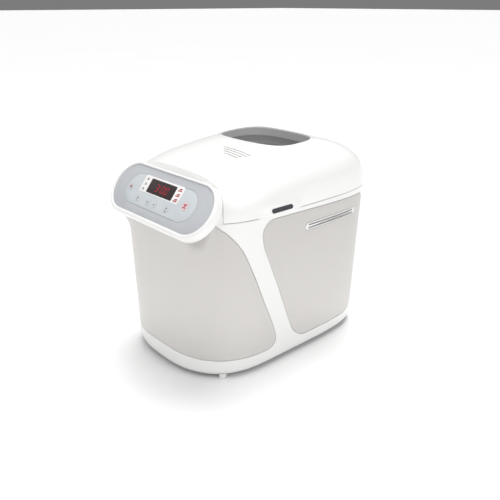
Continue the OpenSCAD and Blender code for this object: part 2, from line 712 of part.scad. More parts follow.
module lid_shell() {
    color("white") difference() {
        union() {
            solid_loft([for (s = dome_steps) dome_ring(s, 0)]);
            finger_ledge();
            mirror([1, 0, 0]) finger_ledge();
        }
        difference() {
            translate([0, 0, -0.01]) solid_loft([for (s = dome_steps) dome_ring(s, lid_t)]);
            front_prism(gap + hood_t);
        }
        on_window(-60) linear_extrude(120) window_shape(gap);
        front_prism(gap);
        for (r = [0:vent_rows - 1]) translate([33 + 2 * r, widest_y + 10 - 5.5 * r, rim_z + 20])
            rounded_box(29 - 4.7 * r, 0.9, 80, 0.8);
        for (x = [-1, 1]) {
            translate([x * hinge_x - ear_w / 2 - 0.6, hinge_y - 6, rim_z - 1]) cube([ear_w + 1.2, 40, 12]);
            translate([x * (body_w / 2 - 5), (tab_y0 + tab_y1) / 2, rim_z + 5.6]) rounded_box(4.5 + 0.3, 19.3, 8, 4.5);
        }
        hinge_relief();
        for (x = [-1, 1]) translate([x * hinge_x - ear_w / 2 - 8.6, hinge_y, hinge_z]) rotate([0, 90, 0])
            cylinder(r = pin_r, h = ear_w + 17.2, $fn = 48);
    }
    color("white") for (x = [-1, 1]) for (s = [-1, 1])
        translate([x * hinge_x + s * (ear_w / 2 + 0.6) + (s < 0 ? -8 : 0), hinge_y, hinge_z]) rotate([0, 90, 0])
            difference() {
                cylinder(r = hinge_r, h = 8, $fn = 64);
                translate([0, 0, -1]) cylinder(r = pin_r, h = 10, $fn = 48);
            }
}
// takes the lid's sharp rear corner back to the hinge barrel, so that it turns clear of the deck
module hinge_relief() {
    translate([-body_w, hinge_y, rim_z - 2]) difference() {
        cube([2 * body_w, 30, hinge_z - rim_z + 2]);
        translate([-1, 0, hinge_z - rim_z + 2]) rotate([0, 90, 0]) cylinder(r = hinge_r, h = 2 * body_w + 2, $fn = 64);
    }
}
module oven_ring(out, in, z, h) {
    difference() {
        at_oven(z) rounded_box(oven_half_w + out, oven_half_d + out, h, oven_r + out);
        at_oven(z - 1) rounded_box(oven_half_w + in, oven_half_d + in, h + 2, oven_r + in);
    }
}
module lid_liner() color("gainsboro") oven_ring(5.6, -oven_t, rim_z + 2, 8);
module lid_seal() color("dimgray") oven_ring(5, 1, lid_line + 0.2, rim_z + 2 - lid_line - 0.2);
module window_ring() {
    color("white") difference() {
        on_window(-16) linear_extrude(16 + ring_h) window_shape(0);
        on_window(-14) linear_extrude(40) window_shape(-2.2);
        on_window(-40) linear_extrude(60) window_shape(-6);
    }
}
module window_glass() color([0.2, 0.2, 0.22]) on_window(-14) linear_extrude(3) window_shape(-2.6);
module inner_glass() color([0.3, 0.3, 0.33]) on_window(-20) linear_extrude(3.6) window_shape(-1);
module grip_pads() {
    color("dimgray") for (x = [-1, 1]) translate([x * (body_w / 2 - 5), (tab_y0 + tab_y1) / 2, rim_z + 5.8])
        rounded_box(4.5, 19, 1.8, 4.2);
}
module hinge_pins() {
    color("silver") for (x = [-1, 1]) translate([x * hinge_x - ear_w / 2 - 8, hinge_y, hinge_z]) rotate([0, 90, 0])
        cylinder(r = pin_r, h = ear_w + 16, $fn = 48);
}

// ---- bread pan ----

module bread_pan() {
    color("gray") difference() {
        union() {
            at_oven(pan_z) rounded_box(pan_half_w, pan_half_d, pan_top - pan_z, pan_r);
            at_oven(pan_top - 2) rounded_box(pan_half_w + pan_rim, pan_half_d + pan_rim, 2, pan_r + pan_rim);
        }
        at_oven(pan_z + pan_t) rounded_box(pan_half_w - pan_t, pan_half_d - pan_t, 400, pan_r - pan_t);
        at_oven(pan_z - 10) cylinder(r = 8, h = 30, $fn = 64);
    }
}
// pressed ring under the pan that the chamber's clips hold
module pan_foot_ring() {
    color("silver") difference() {
        at_oven(chamber_z + 4) tube(clip_r - 1.4, clip_r - 3.4, pan_z - chamber_z - 4);
        for (a = [0, 90]) at_oven(chamber_z) rotate([0, 0, a]) translate([-60, -6, 0]) cube([120, 12, 14]);
    }
}
module bail_rivets() {
    root = pan_half_w;
    color("silver") for (x = [-1, 1]) translate([x * root, oven_y, bail_z]) rotate([0, x * 90, 0]) {
        cylinder(r = stud_r, h = bail_x + eye_half + 1 - root, $fn = 48);
        cylinder(r = stud_r + 1.6, h = bail_x - eye_half - gap - root, $fn = 48);
        translate([0, 0, bail_x + eye_half + gap - root]) cylinder(r = stud_r + 1.5, h = 1, $fn = 48);
    }
}
// wire bail, stored folded back beside the pan's rim
module pan_handle() {
    bend = 14;
    color("silver") translate([0, oven_y, bail_z]) {
        for (x = [-1, 1]) translate([x * bail_x - eye_half, 0, 0]) rotate([0, 90, 0])
            tube(stud_r + 2.8, stud_r + run_fit, 2 * eye_half);
        for (x = [-1, 1]) translate([x * bail_x, stud_r + 1.5, 0]) rotate([-90, 0, 0])
            cylinder(r = bail_r, h = bail_arm - bend - stud_r - 1.5, $fn = 32);
        for (x = [-1, 1]) translate([x * (bail_x - bend), bail_arm - bend, 0])
            rotate([0, 0, x > 0 ? 0 : 90]) rotate_extrude(angle = 90, $fn = 48) translate([bend, 0]) circle(bail_r, $fn = 32);
        translate([-bail_x + bend, bail_arm, 0]) rotate([0, 90, 0]) cylinder(r = bail_r, h = 2 * (bail_x - bend), $fn = 32);
    }
}
module pan_seal() color("firebrick") at_oven(pan_z - 3) tube(8, spindle_r + run_fit, 7);
module pan_shaft() {
    color("silver") difference() {
        at_oven(spindle_top + 1) cylinder(r = spindle_r, h = shaft_top - spindle_top - 1, $fn = 64);
        at_oven(pan_z + 8) translate([spindle_r - 1.2, -10, 0]) cube([5, 20, 60]);
    }
}
// two wings under the pan, driven by the coupling's ears
module pan_coupling() {
    color("dimgray") difference() {
        union() {
            at_oven(spindle_top + 1) cylinder(r = 8, h = 3.5, $fn = 64);
            at_oven(spindle_top + 1) rotate([0, 0, 34]) translate([-16, -3, 0]) cube([32, 6, 3]);
        }
        at_oven(spindle_top) cylinder(r = spindle_r, h = 20, $fn = 64);
    }
}
paddle_z = pan_z + 6;
module kneading_paddle() {
    color("dimgray") difference() {
        union() {
            at_oven(paddle_z) cylinder(r1 = 11, r2 = 7.5, h = 30, $fn = 64);
            at_oven(paddle_z) translate([0, -2, 0]) cube([46, 4, 9]);
            at_oven(paddle_z) translate([38, -2, 0]) cube([8, 4, 22]);
        }
        difference() {
            at_oven(paddle_z - 1) cylinder(r = spindle_r, h = shaft_top - paddle_z + 1.2, $fn = 64);
            at_oven(pan_z + 8) translate([spindle_r - 1.2, -10, 0]) cube([5, 20, 60]);
        }
    }
}

// ---- inlet and fasteners ----

module mains_inlet() {
    color("black") translate([0, rear_y - 18, 44]) rotate([-90, 0, 0]) difference() {
        rounded_box(16, 12, 15, 3);
        translate([0, 0, 3]) rounded_box(12.5, 8.5, 40, 2.5);
    }
    color("silver") for (x = [-6, 0, 6]) translate([x - 1, rear_y - 16, 44 + (x == 0 ? 2 : -2) - 1]) cube([2, 10, 2]);
}
module screws() {
    color("silver") for (x = [-1, 1]) for (y = screw_ys)
        translate([x * screw_x, y, foot_h + 1]) machine_screw(9);
    color("silver") for (x = [-1, 1]) for (y = [-1, 1])
        translate([x * (oven_half_w - 6), oven_y + y * (oven_half_d + deck_screw), lid_line + 2]) rotate([180, 0, 0])
            machine_screw(8);
}

housing();
base_plate();
front_panel();
neck_fairing();
right_panel();
left_panel();
right_grille();
left_grille();
top_deck();
oven_chamber();
chamber_bracket();
heating_element();
element_insulators();
temperature_probe();
probe_clip();
pan_clips();
spindle_housing();
upper_bush();
lower_bush();
drive_spindle();
drive_coupling();
large_pulley();
drive_belt();
motor_body();
motor_shaft();
motor_pulley();
motor_bracket();
motor_capacitor();
power_board();
control_board();
display_module();
display_lens();
console_shell();
console_face();
key_plate();
key_menu();
key_colour();
key_time_down();
key_time_up();
key_size();
key_start();
lid_shell();
lid_liner();
window_ring();
window_glass();
inner_glass();
lid_seal();
grip_pads();
hinge_pins();
bread_pan();
pan_foot_ring();
bail_rivets();
pan_handle();
pan_shaft();
pan_seal();
pan_coupling();
kneading_paddle();
mains_inlet();
feet();
screws();
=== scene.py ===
import json
import math
import bmesh
import bpy
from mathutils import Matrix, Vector


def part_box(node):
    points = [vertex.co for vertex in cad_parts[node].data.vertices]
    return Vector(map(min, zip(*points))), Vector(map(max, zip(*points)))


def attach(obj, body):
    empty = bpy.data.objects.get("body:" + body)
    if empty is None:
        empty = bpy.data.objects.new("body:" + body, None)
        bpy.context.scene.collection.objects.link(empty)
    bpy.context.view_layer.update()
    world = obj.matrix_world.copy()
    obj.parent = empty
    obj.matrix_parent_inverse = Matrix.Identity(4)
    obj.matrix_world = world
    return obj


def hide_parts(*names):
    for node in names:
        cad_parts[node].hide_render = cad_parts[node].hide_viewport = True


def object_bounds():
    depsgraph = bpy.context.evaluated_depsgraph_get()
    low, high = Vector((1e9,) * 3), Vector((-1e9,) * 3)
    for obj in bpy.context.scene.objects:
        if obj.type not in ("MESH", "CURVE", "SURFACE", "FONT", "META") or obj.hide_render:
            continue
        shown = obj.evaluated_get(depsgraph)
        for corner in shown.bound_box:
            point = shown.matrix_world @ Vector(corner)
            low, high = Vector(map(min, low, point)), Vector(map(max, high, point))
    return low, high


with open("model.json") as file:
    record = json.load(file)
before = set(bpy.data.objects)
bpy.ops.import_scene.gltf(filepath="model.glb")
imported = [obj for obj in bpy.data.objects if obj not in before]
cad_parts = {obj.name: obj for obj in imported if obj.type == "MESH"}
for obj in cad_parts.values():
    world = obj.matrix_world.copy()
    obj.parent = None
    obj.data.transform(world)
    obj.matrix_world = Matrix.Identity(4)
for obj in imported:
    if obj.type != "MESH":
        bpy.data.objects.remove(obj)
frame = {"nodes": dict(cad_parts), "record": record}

cad_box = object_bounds()
MM = 0.001

# ---- camera ----
# A three-quarter view from the machine's front right, a little above the lid line, through a
# lens of about 44 mm. The small shift sets the machine a little left of the middle.
camera_data = bpy.data.cameras.new("view_camera")
camera_data.lens = 43.82
camera_data.shift_x = 0.0153
camera_data.shift_y = -0.0024
camera = bpy.data.objects.new("view_camera", camera_data)
bpy.context.collection.objects.link(camera)
camera.location = (0.65367, -0.5771, 0.48679)
camera.rotation_euler = (math.radians(67.93), 0, math.radians(48.63))
bpy.context.scene.camera = camera
bpy.context.scene.view_settings.view_transform = "Standard"


# ---- studio floor and light ----
# A pale sweep of paper under and behind the machine, lit by wide soft boxes above it and a
# bright room, so that the shadow under the machine is soft and short.
def new_object(name, mesh):
    thing = bpy.data.objects.new(name, mesh)
    bpy.context.collection.objects.link(thing)
    return thing


class Wire:
    """One value in a material, so that shader maths reads as plain arithmetic."""

    def __init__(self, tree, socket):
        self.tree = tree
        self.socket = socket

    def maths(self, operation, *others):
        node = self.tree.nodes.new("ShaderNodeMath")
        node.operation = operation
        for slot, value in zip(node.inputs, (self, *others)):
            if isinstance(value, Wire):
                self.tree.links.new(value.socket, slot)
            else:
                slot.default_value = value
        return Wire(self.tree, node.outputs[0])

    def __add__(self, other):
        return self.maths("ADD", other)

    def __mul__(self, other):
        return self.maths("MULTIPLY", other)


class Finish:
    """A material made of nodes round one Principled shader."""

    def __init__(self, name, colour, roughness, metallic=0.0, coat=0.0, coat_roughness=0.08):
        self.material = bpy.data.materials.new(name)
        self.material.use_nodes = True
        self.tree = self.material.node_tree
        self.shader = self.tree.nodes["Principled BSDF"]
        self.shader.inputs["Base Color"].default_value = (*colour, 1)
        self.shader.inputs["Roughness"].default_value = roughness
        self.shader.inputs["Metallic"].default_value = metallic
        self.shader.inputs["Coat Weight"].default_value = coat
        self.shader.inputs["Coat Roughness"].default_value = coat_roughness

    def node(self, kind, output=0, settings=None, **values):
        """Adds any node: its settings first, then its sockets' values or links by name."""
        node = self.tree.nodes.new(kind)
        for key, value in (settings or {}).items():
            setattr(node, key, value)
        for key, value in values.items():
            slot = node.inputs[key.replace("_", " ")]
            if isinstance(value, Wire):
                self.tree.links.new(value.socket, slot)
            else:
                slot.default_value = value
        return Wire(self.tree, node.outputs[output])

    def noise(self, size, detail=3.0, scale=(1, 1, 1)):
        """Noise whose blotches are about size across, in metres."""
        spot = self.node("ShaderNodeTexCoord", "Object")
        place = self.node("ShaderNodeMapping", Vector=spot, Scale=scale)
        return self.node("ShaderNodeTexNoise", "Fac", Vector=place, Scale=1 / size, Detail=detail)

    def blend(self, factor, low, high):
        """Mixes two colours, each a plain colour or a wire."""
        node = self.tree.nodes.new("ShaderNodeMix")
        node.data_type = "RGBA"
        self.tree.links.new(factor.socket, node.inputs["Factor"])
        for slot, value in ((node.inputs[6], low), (node.inputs[7], high)):
            if isinstance(value, Wire):
                self.tree.links.new(value.socket, slot)
            else:
                slot.default_value = (*value, 1)
        return Wire(self.tree, node.outputs[2])

    def span(self, value, low, high, to_low=0.0, to_high=1.0):
        """Maps a value from one range onto another and keeps it inside."""
        return self.node("ShaderNodeMapRange", Value=value, From_Min=low, From_Max=high,
                         To_Min=to_low, To_Max=to_high)

    def patches(self, size, detail=3.0):
        """Soft patches from 0 to 1."""
        return self.span(self.noise(size, detail), 0.3, 0.7)

    def feed(self, socket, wire):
        self.tree.links.new(wire.socket, self.shader.inputs[socket])

    def tones(self, size, detail, low, high):
        """A colour that drifts between two close tones."""
        self.feed("Base Color", self.blend(self.patches(size, detail), low, high))

    def gloss(self, grain, low, high):
        """A roughness that follows a grain between two values."""
        self.feed("Roughness", self.span(grain, 0.3, 0.7, low, high))

    def bump(self, height, strength, depth):
        self.feed("Normal", self.node("ShaderNodeBump", Height=height, Strength=strength, Distance=depth))


def studio():
    mesh = bpy.data.meshes.new("studio_floor")
    corners = [(x * FLOOR_HALF, y * FLOOR_HALF, 0) for x, y in ((-1, -1), (1, -1), (1, 1), (-1, 1))]
    mesh.from_pydata(corners, [], [(0, 1, 2, 3)])
    paper = Finish("studio_paper", (0.93, 0.93, 0.93), 0.9)
    tone = paper.span(paper.noise(0.6, 2), 0.3, 0.7, 0.925, 0.935)
    paper.feed("Base Color", paper.node("ShaderNodeCombineColor", Red=tone, Green=tone, Blue=tone))
    mesh.materials.append(paper.material)
    floor = new_object("studio_floor", mesh)
    floor.location.z = cad_box[0].z
    world = bpy.context.scene.world or bpy.data.worlds.new("studio")
    bpy.context.scene.world = world
    world.use_nodes = True
    tree = world.node_tree
    parts = tree.nodes.new("ShaderNodeSeparateXYZ")
    tree.links.new(tree.nodes.new("ShaderNodeTexCoord").outputs["Generated"], parts.inputs[0])
    height = Wire(tree, parts.outputs["Z"])
    glow = height.maths("MAXIMUM", 0.0) * SKY_RISE + SKY_LOW
    tree.links.new(glow.socket, tree.nodes["Background"].inputs["Strength"])
    tree.nodes["Background"].inputs["Color"].default_value = (1, 1, 1, 1)
    sun = bpy.data.lights.new("soft_overhead", "SUN")
    sun.energy = OVERHEAD
    sun.angle = math.radians(38)
    aim(new_object("soft_overhead", sun), (-0.3, 0.5, 1.9))
    for name, place, size, power in LAMPS:
        light = bpy.data.lights.new(name, "AREA")
        light.size = size
        light.energy = power
        aim(new_object(name, light), place)


def aim(lamp, place):
    lamp.location = place
    lamp.rotation_euler = (Vector((0, 0, 0.15)) - Vector(place)).to_track_quat("-Z", "Y").to_euler()


FLOOR_HALF = 40.0
SKY_LOW, SKY_RISE = 0.2, 0.28
OVERHEAD = 2.3
LAMPS = (("key_box", (0.2, -1.3, 1.5), 1.5, 11), ("fill_box", (1.9, 0.3, 1.1), 1.6, 11),
         ("back_box", (-1.0, 1.5, 1.8), 1.6, 2))
studio()


# ---- housing ----
# The one-piece white moulding that carries everything: a rounded box that widens a little
# towards the top, with sunken places for the silver panels and the console, and openings for the air grilles.
shell_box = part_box("housing")
PLAN_TOP = shell_box[1].z
HALF_W = shell_box[1].x
WIDEST_Y = -50 * MM
FRONT_LEN = WIDEST_Y - shell_box[0].y
REAR_LEN = shell_box[1].y - WIDEST_Y
FRONT_POWER = 2.65
REAR_POWER = 5.3
FLARE = 0.027
BASE_Z = shell_box[0].z
SKIRT_Z = 28 * MM
SHELL_T = 4.2 * MM


def plan_power(value, power):
    return math.copysign(abs(value) ** power, value)


def wall_point(z, out, turn):
    """A point of the body's wall at a height, moved outwards by out, at a plan angle."""
    grow = (z - PLAN_TOP) * FLARE + out
    behind = math.sin(turn) >= 0
    power = 2 / (REAR_POWER if behind else FRONT_POWER)
    depth = (REAR_LEN if behind else FRONT_LEN) + grow
    return Vector(((HALF_W + grow) * plan_power(math.cos(turn), power),
                   WIDEST_Y + depth * plan_power(math.sin(turn), power), z))


# plan angles against the length walked round the wall from the middle of the front
QUARTER = 1000
WALK_STEPS = 4 * QUARTER


def quarter_turn(k):
    """The k-th plan angle, closer together where the wall's curve runs fastest."""
    quarter, step = divmod(k, QUARTER)
    ease_power = (FRONT_POWER if quarter in (0, 3) else REAR_POWER) / 2
    a, b = (step / QUARTER) ** ease_power, (1 - step / QUARTER) ** ease_power
    return -math.pi / 2 + (quarter + a / (a + b)) * math.pi / 2


walk = [0.0]
walk_turns = [quarter_turn(k) for k in range(WALK_STEPS + 1)]
for before, after in zip(walk_turns, walk_turns[1:]):
    walk.append(walk[-1] + (wall_point(PLAN_TOP, 0, after) - wall_point(PLAN_TOP, 0, before)).length)
ROUND = walk[-1]


def turn_at(length):
    """The plan angle at a length round the wall, to the right from the middle of the front."""
    length %= ROUND
    low, high = 0, WALK_STEPS
    while high - low > 1:
        mid = (low + high) // 2
        if walk[mid] <= length:
            low = mid
        else:
            high = mid
    part = (length - walk[low]) / (walk[high] - walk[low])
    return walk_turns[low] + part * (walk_turns[high] - walk_turns[low])


def length_at_y(y):
    """The length round the right-hand wall at which the wall has a given y."""
    low, high = 0, WALK_STEPS // 2
    while high - low > 1:
        mid = (low + high) // 2
        if wall_point(PLAN_TOP, 0, walk_turns[mid]).y < y:
            low = mid
        else:
            high = mid
    return walk[low]


def ring_mesh(name, rings, ends="capped"):
    """A mesh of rings with as many points each, joined in order: capped, open or a closed tube."""
    mesh = bmesh.new()
    rows = [[mesh.verts.new(p) for p in ring] for ring in rings]
    count = len(rows[0])
    for a, b in zip(rows, rows[1:] + ([rows[0]] if ends == "tube" else [])):
        for i in range(count):
            j = (i + 1) % count
            mesh.faces.new((a[i], a[j], b[j], b[i]))
    if ends == "capped":
        mesh.faces.new(rows[0][::-1])
        mesh.faces.new(rows[-1])
    bmesh.ops.recalc_face_normals(mesh, faces=mesh.faces)
    data = bpy.data.meshes.new(name)
    mesh.to_mesh(data)
    mesh.free()
    return data


def ring_piece(name, rings, ends="capped"):
    return new_object(name, ring_mesh(name, rings, ends))


def smooth(mesh, angle):
    mesh.shade_smooth()
    mesh.set_sharp_from_angle(angle=math.radians(angle))


def carve(thing, cutters, operation="DIFFERENCE"):
    """Applies exact booleans to a piece and deletes the cutters."""
    for cutter in cutters:
        step = thing.modifiers.new("cut", "BOOLEAN")
        step.operation = operation
        step.solver = "EXACT"
        step.object = cutter
    graph = bpy.context.evaluated_depsgraph_get()
    done = bpy.data.meshes.new_from_object(thing.evaluated_get(graph))
    thing.modifiers.clear()
    old = thing.data
    thing.data = done
    bpy.data.meshes.remove(old)
    for cutter in cutters:
        bpy.data.objects.remove(cutter)


def finish_piece(thing, finish, body, slot, *nodes):
    """Gives a piece its material, the body it rides on and the CAD nodes it stands for."""
    thing.data.materials.clear()
    thing.data.materials.append(finish.material)
    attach(thing, body)
    if nodes:
        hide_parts(*nodes)
    return thing


def spline(points, steps):
    """A smooth closed curve through a few points, as a denser list."""
    out = []
    n = len(points)
    for i in range(n):
        a, b, c, d = (Vector(points[(i + k - 1) % n]) for k in range(4))
        for k in range(steps):
            t = k / steps
            out.append(0.5 * (2 * b + (c - a) * t + (2 * a - 5 * b + 4 * c - d) * t * t
                              + (3 * b - a - 3 * c + d) * t * t * t))
    return out


def even(points, count):
    """The same closed outline with its points spread evenly."""
    total = [0.0]
    n = len(points)
    for i in range(n):
        total.append(total[-1] + (points[(i + 1) % n] - points[i]).length)
    out, k = [], 0
    for i in range(count):
        want = total[-1] * i / count
        while total[k + 1] < want:
            k += 1
        part = (want - total[k]) / max(total[k + 1] - total[k], 1e-12)
        out.append(points[k].lerp(points[(k + 1) % n], part))
    return out


def rounded(corners, steps=8):
    """A polygon with its corners rounded: each corner is (x, y, radius)."""
    out = []
    n = len(corners)
    for i in range(n):
        here = Vector(corners[i][:2])
        before = (Vector(corners[i - 1][:2]) - here)
        after = (Vector(corners[(i + 1) % n][:2]) - here)
        reach = min(corners[i][2], before.length * 0.49, after.length * 0.49)
        a = here + before.normalized() * reach
        b = here + after.normalized() * reach
        for k in range(steps + 1):
            t = k / steps
            out.append(a.lerp(here, t).lerp(here.lerp(b, t), t))
    return out


def side_outline():
    """A side panel's outline, on the right-hand wall."""
    edge = [(-22, 213, 9), (-19, 191, 30), (-3, 155, 60), (16.8, 110, 60), (35, 65, 40), (47, 40, 16),
            (66, 26, 26), (170, 26, 10), (194, 30, 24), (195, 222, 14), (-10, 226, 16)]
    flat = [(length_at_y(WIDEST_Y + y * MM) / MM, z, r) for y, z, r in edge]
    return even(rounded(flat, 10), 360)


def on_wall(spot, out):
    """A point of the wall from a flat (length, height) spot in mm, moved outwards."""
    return wall_point(spot.y * MM, out, turn_at(spot.x * MM))


def panel_mesh(name, outline, profile, place, rings=26):
    """A curved panel: the outline shrinks to its middle, and profile gives inset and height."""
    middle = sum(outline, Vector((0, 0))) / len(outline)
    n = len(outline)
    normals = []
    for i in range(n):
        along = outline[(i + 1) % n] - outline[i - 1]
        normals.append(Vector((-along.y, along.x)).normalized())
    if (outline[0] + normals[0] - middle).length > (outline[0] - middle).length:
        normals = [-v for v in normals]
    rows = [[place(outline[i] + normals[i] * inset, out) for i in range(n)] for inset, out in profile]
    inset, out = profile[-1]
    for k in range(1, rings):
        share = (k / rings) ** 0.9
        rows.append([place((outline[i] + normals[i] * inset).lerp(middle, share), out) for i in range(n)])
    mesh = ring_mesh(name, rows, "open")
    work = bmesh.new()
    work.from_mesh(mesh)
    work.verts.ensure_lookup_table()
    last = work.verts[-n:]
    hub = work.verts.new(place(middle, out))
    for i in range(n):
        work.faces.new((last[i], last[(i + 1) % n], hub))
    bmesh.ops.recalc_face_normals(work, faces=work.faces)
    work.to_mesh(mesh)
    work.free()
    return mesh


def wall_cutter(outline, side=1):
    """A closed block that sinks a panel's place into the wall."""
    gap = 0.55

    def place(spot, out):
        point = on_wall(spot, out)
        return Vector((point.x * side, point.y, point.z))
    deep, high = -2.2 * MM, 6 * MM
    outer = panel_mesh("cut_top", outline, [(-gap, high)], place, 14)
    work = bmesh.new()
    work.from_mesh(outer)
    inner = panel_mesh("cut_floor", outline, [(-gap, deep)], place, 14)
    work.from_mesh(inner)
    work.verts.ensure_lookup_table()
    n = len(outline)
    half = len(work.verts) // 2
    for i in range(n):
        j = (i + 1) % n
        work.faces.new((work.verts[i], work.verts[j], work.verts[half + j], work.verts[half + i]))
    bmesh.ops.recalc_face_normals(work, faces=work.faces)
    data = bpy.data.meshes.new("cutter")
    work.to_mesh(data)
    work.free()
    return new_object("cutter", data)


def prism(outline, base, top, place):
    """A closed straight block between two levels of an outline."""
    return ring_piece("cutter", [[place(p, level) for p in outline] for level in (base, top)])


# console frame: u to the right, v up the slope, w out of the face
console_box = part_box("console_face")
FACE_Y = (console_box[0].y + console_box[1].y) / 2
FACE_Z = (console_box[0].z + console_box[1].z) / 2
FACE_TILT = math.radians(51)
FACE_HALF_LEN = console_box[1].x
FACE_HALF_H = 34.5 * MM
RIM_LOW, RIM_HIGH, RIM_END = 7 * MM, 3.5 * MM, 5 * MM
POD_T = 11 * MM
SLOPE = Vector((0, math.cos(FACE_TILT), math.sin(FACE_TILT)))
OUT = Vector((0, -math.sin(FACE_TILT), math.cos(FACE_TILT)))
FACE_MID = Vector((0, FACE_Y, FACE_Z)) + OUT * 1.0 * MM


def on_face(spot, w):
    return FACE_MID + Vector((spot.x, 0, 0)) + SLOPE * spot.y + OUT * w


def stadium(half_len, r, count, mid_v=0.0):
    """A bar with half-round ends, its points spread evenly."""
    straight = 2 * (half_len - r)
    total = 2 * straight + 2 * math.pi * r
    out = []
    for i in range(count):
        d = total * (i + 0.5) / count
        if d < straight:
            p = Vector((-straight / 2 + d, -r))
        elif d < straight + math.pi * r:
            a = (d - straight) / r - math.pi / 2
            p = Vector((straight / 2 + r * math.cos(a), r * math.sin(a)))
        elif d < 2 * straight + math.pi * r:
            p = Vector((straight / 2 - (d - straight - math.pi * r), r))
        else:
            a = (d - 2 * straight - math.pi * r) / r + math.pi / 2
            p = Vector((-straight / 2 + r * math.cos(a), r * math.sin(a)))
        out.append(p + Vector((0, mid_v)))
    return out


RIM_LEN = FACE_HALF_LEN + RIM_END
RIM_R = FACE_HALF_H + (RIM_LOW + RIM_HIGH) / 2
RIM_V = (RIM_HIGH - RIM_LOW) / 2


def ease(share):
    """A slow start and a slow finish between 0 and 1."""
    share = min(1.0, max(0.0, share))
    return share * share * (3 - 2 * share)


def rim_reach():
    """Where the wall has to swell out to meet the console rim, along its lower back edge."""
    table = []
    for i in range(91):
        a = math.radians(-90 + i)
        r = RIM_R - 3 * MM
        spot = Vector((RIM_LEN - RIM_R + r * math.cos(a), RIM_V + r * math.sin(a)))
        rim = on_face(spot, -POD_T + 1 * MM)
        best = min(range(QUARTER), key=lambda k: (wall_point(rim.z, 0, walk_turns[k]).xy - rim.xy).length)
        foot = wall_point(rim.z, 0, walk_turns[best])
        outwards = (rim.xy - foot.xy).dot(foot.xy - Vector((0, WIDEST_Y))) > 0
        table.append((walk[best], rim.z, (rim.xy - foot.xy) if outwards else Vector((0, 0))))
    return table


reach = rim_reach()
NECK_FALL = 32 * MM


def rim_over(at):
    """The rim's height over a length round the front wall, and how far out it is."""
    if at <= reach[0][0]:
        return reach[0][1], reach[0][2] * (at / reach[0][0]) ** 3
    if at >= reach[-1][0]:
        return PLAN_TOP, Vector((0, 0))
    k = next(i for i in range(len(reach) - 1) if reach[i + 1][0] >= at)
    part = (at - reach[k][0]) / max(reach[k + 1][0] - reach[k][0], 1e-9)
    fade = ease((reach[-1][0] - at) / (14 * MM))
    height = reach[k][1] + (reach[k + 1][1] - reach[k][1]) * part
    return height, reach[k][2].lerp(reach[k + 1][2], part) * fade


def bulge(point, length):
    """Moves a point of the front wall out towards the rim, more the closer it is below it."""
    top, push = rim_over(abs(length))
    rise = min(1.0, max(0.0, (point.z - (top - NECK_FALL)) / NECK_FALL)) ** 2.1
    return point + Vector((math.copysign(1, length) * push.x * rise, push.y * rise, 0))


def front_outline():
    """The front panel's outline, in mm: S-shaped sides, and a top edge hidden inside the pod."""
    edge = [(-77, 222.5), (-70, 216), (-56, 198.5), (-47, 182), (-39.5, 165), (-32.3, 148), (-24.5, 129),
            (-16.4, 110), (-7, 89), (2, 69), (8, 54), (10.5, 44), (9, 35), (0, 28.6), (-20, 28), (-50, 29)]
    right = [Vector((length_at_y(WIDEST_Y + y * MM) / MM, z)) for y, z in edge]
    start = length_at_y(WIDEST_Y - 84 * MM) / MM
    top = []
    for k in range(-12, 13):
        length = start * k / 12
        above, _ = rim_over(abs(length) * MM)
        top.append(Vector((length, min(PLAN_TOP / MM - 2, above / MM + 3.5))))
    left = [Vector((-p.x, p.y)) for p in reversed(right)]
    bottom = [Vector((x, z)) for x, z in ((70, 31.5), (0, 34), (-70, 31.5))]
    return even(spline(right + bottom + left + top, 12), 520)


front_side = front_outline()
right_side = side_outline()
grille_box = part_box("right_grille")
GRILLE_Y = (grille_box[0].y + grille_box[1].y) / 2
GRILLE_Z = (grille_box[0].z + grille_box[1].z) / 2
GRILLE_HALF = (grille_box[1].y - grille_box[0].y) / 2
GRILLE_R = (grille_box[1].z - grille_box[0].z) / 2


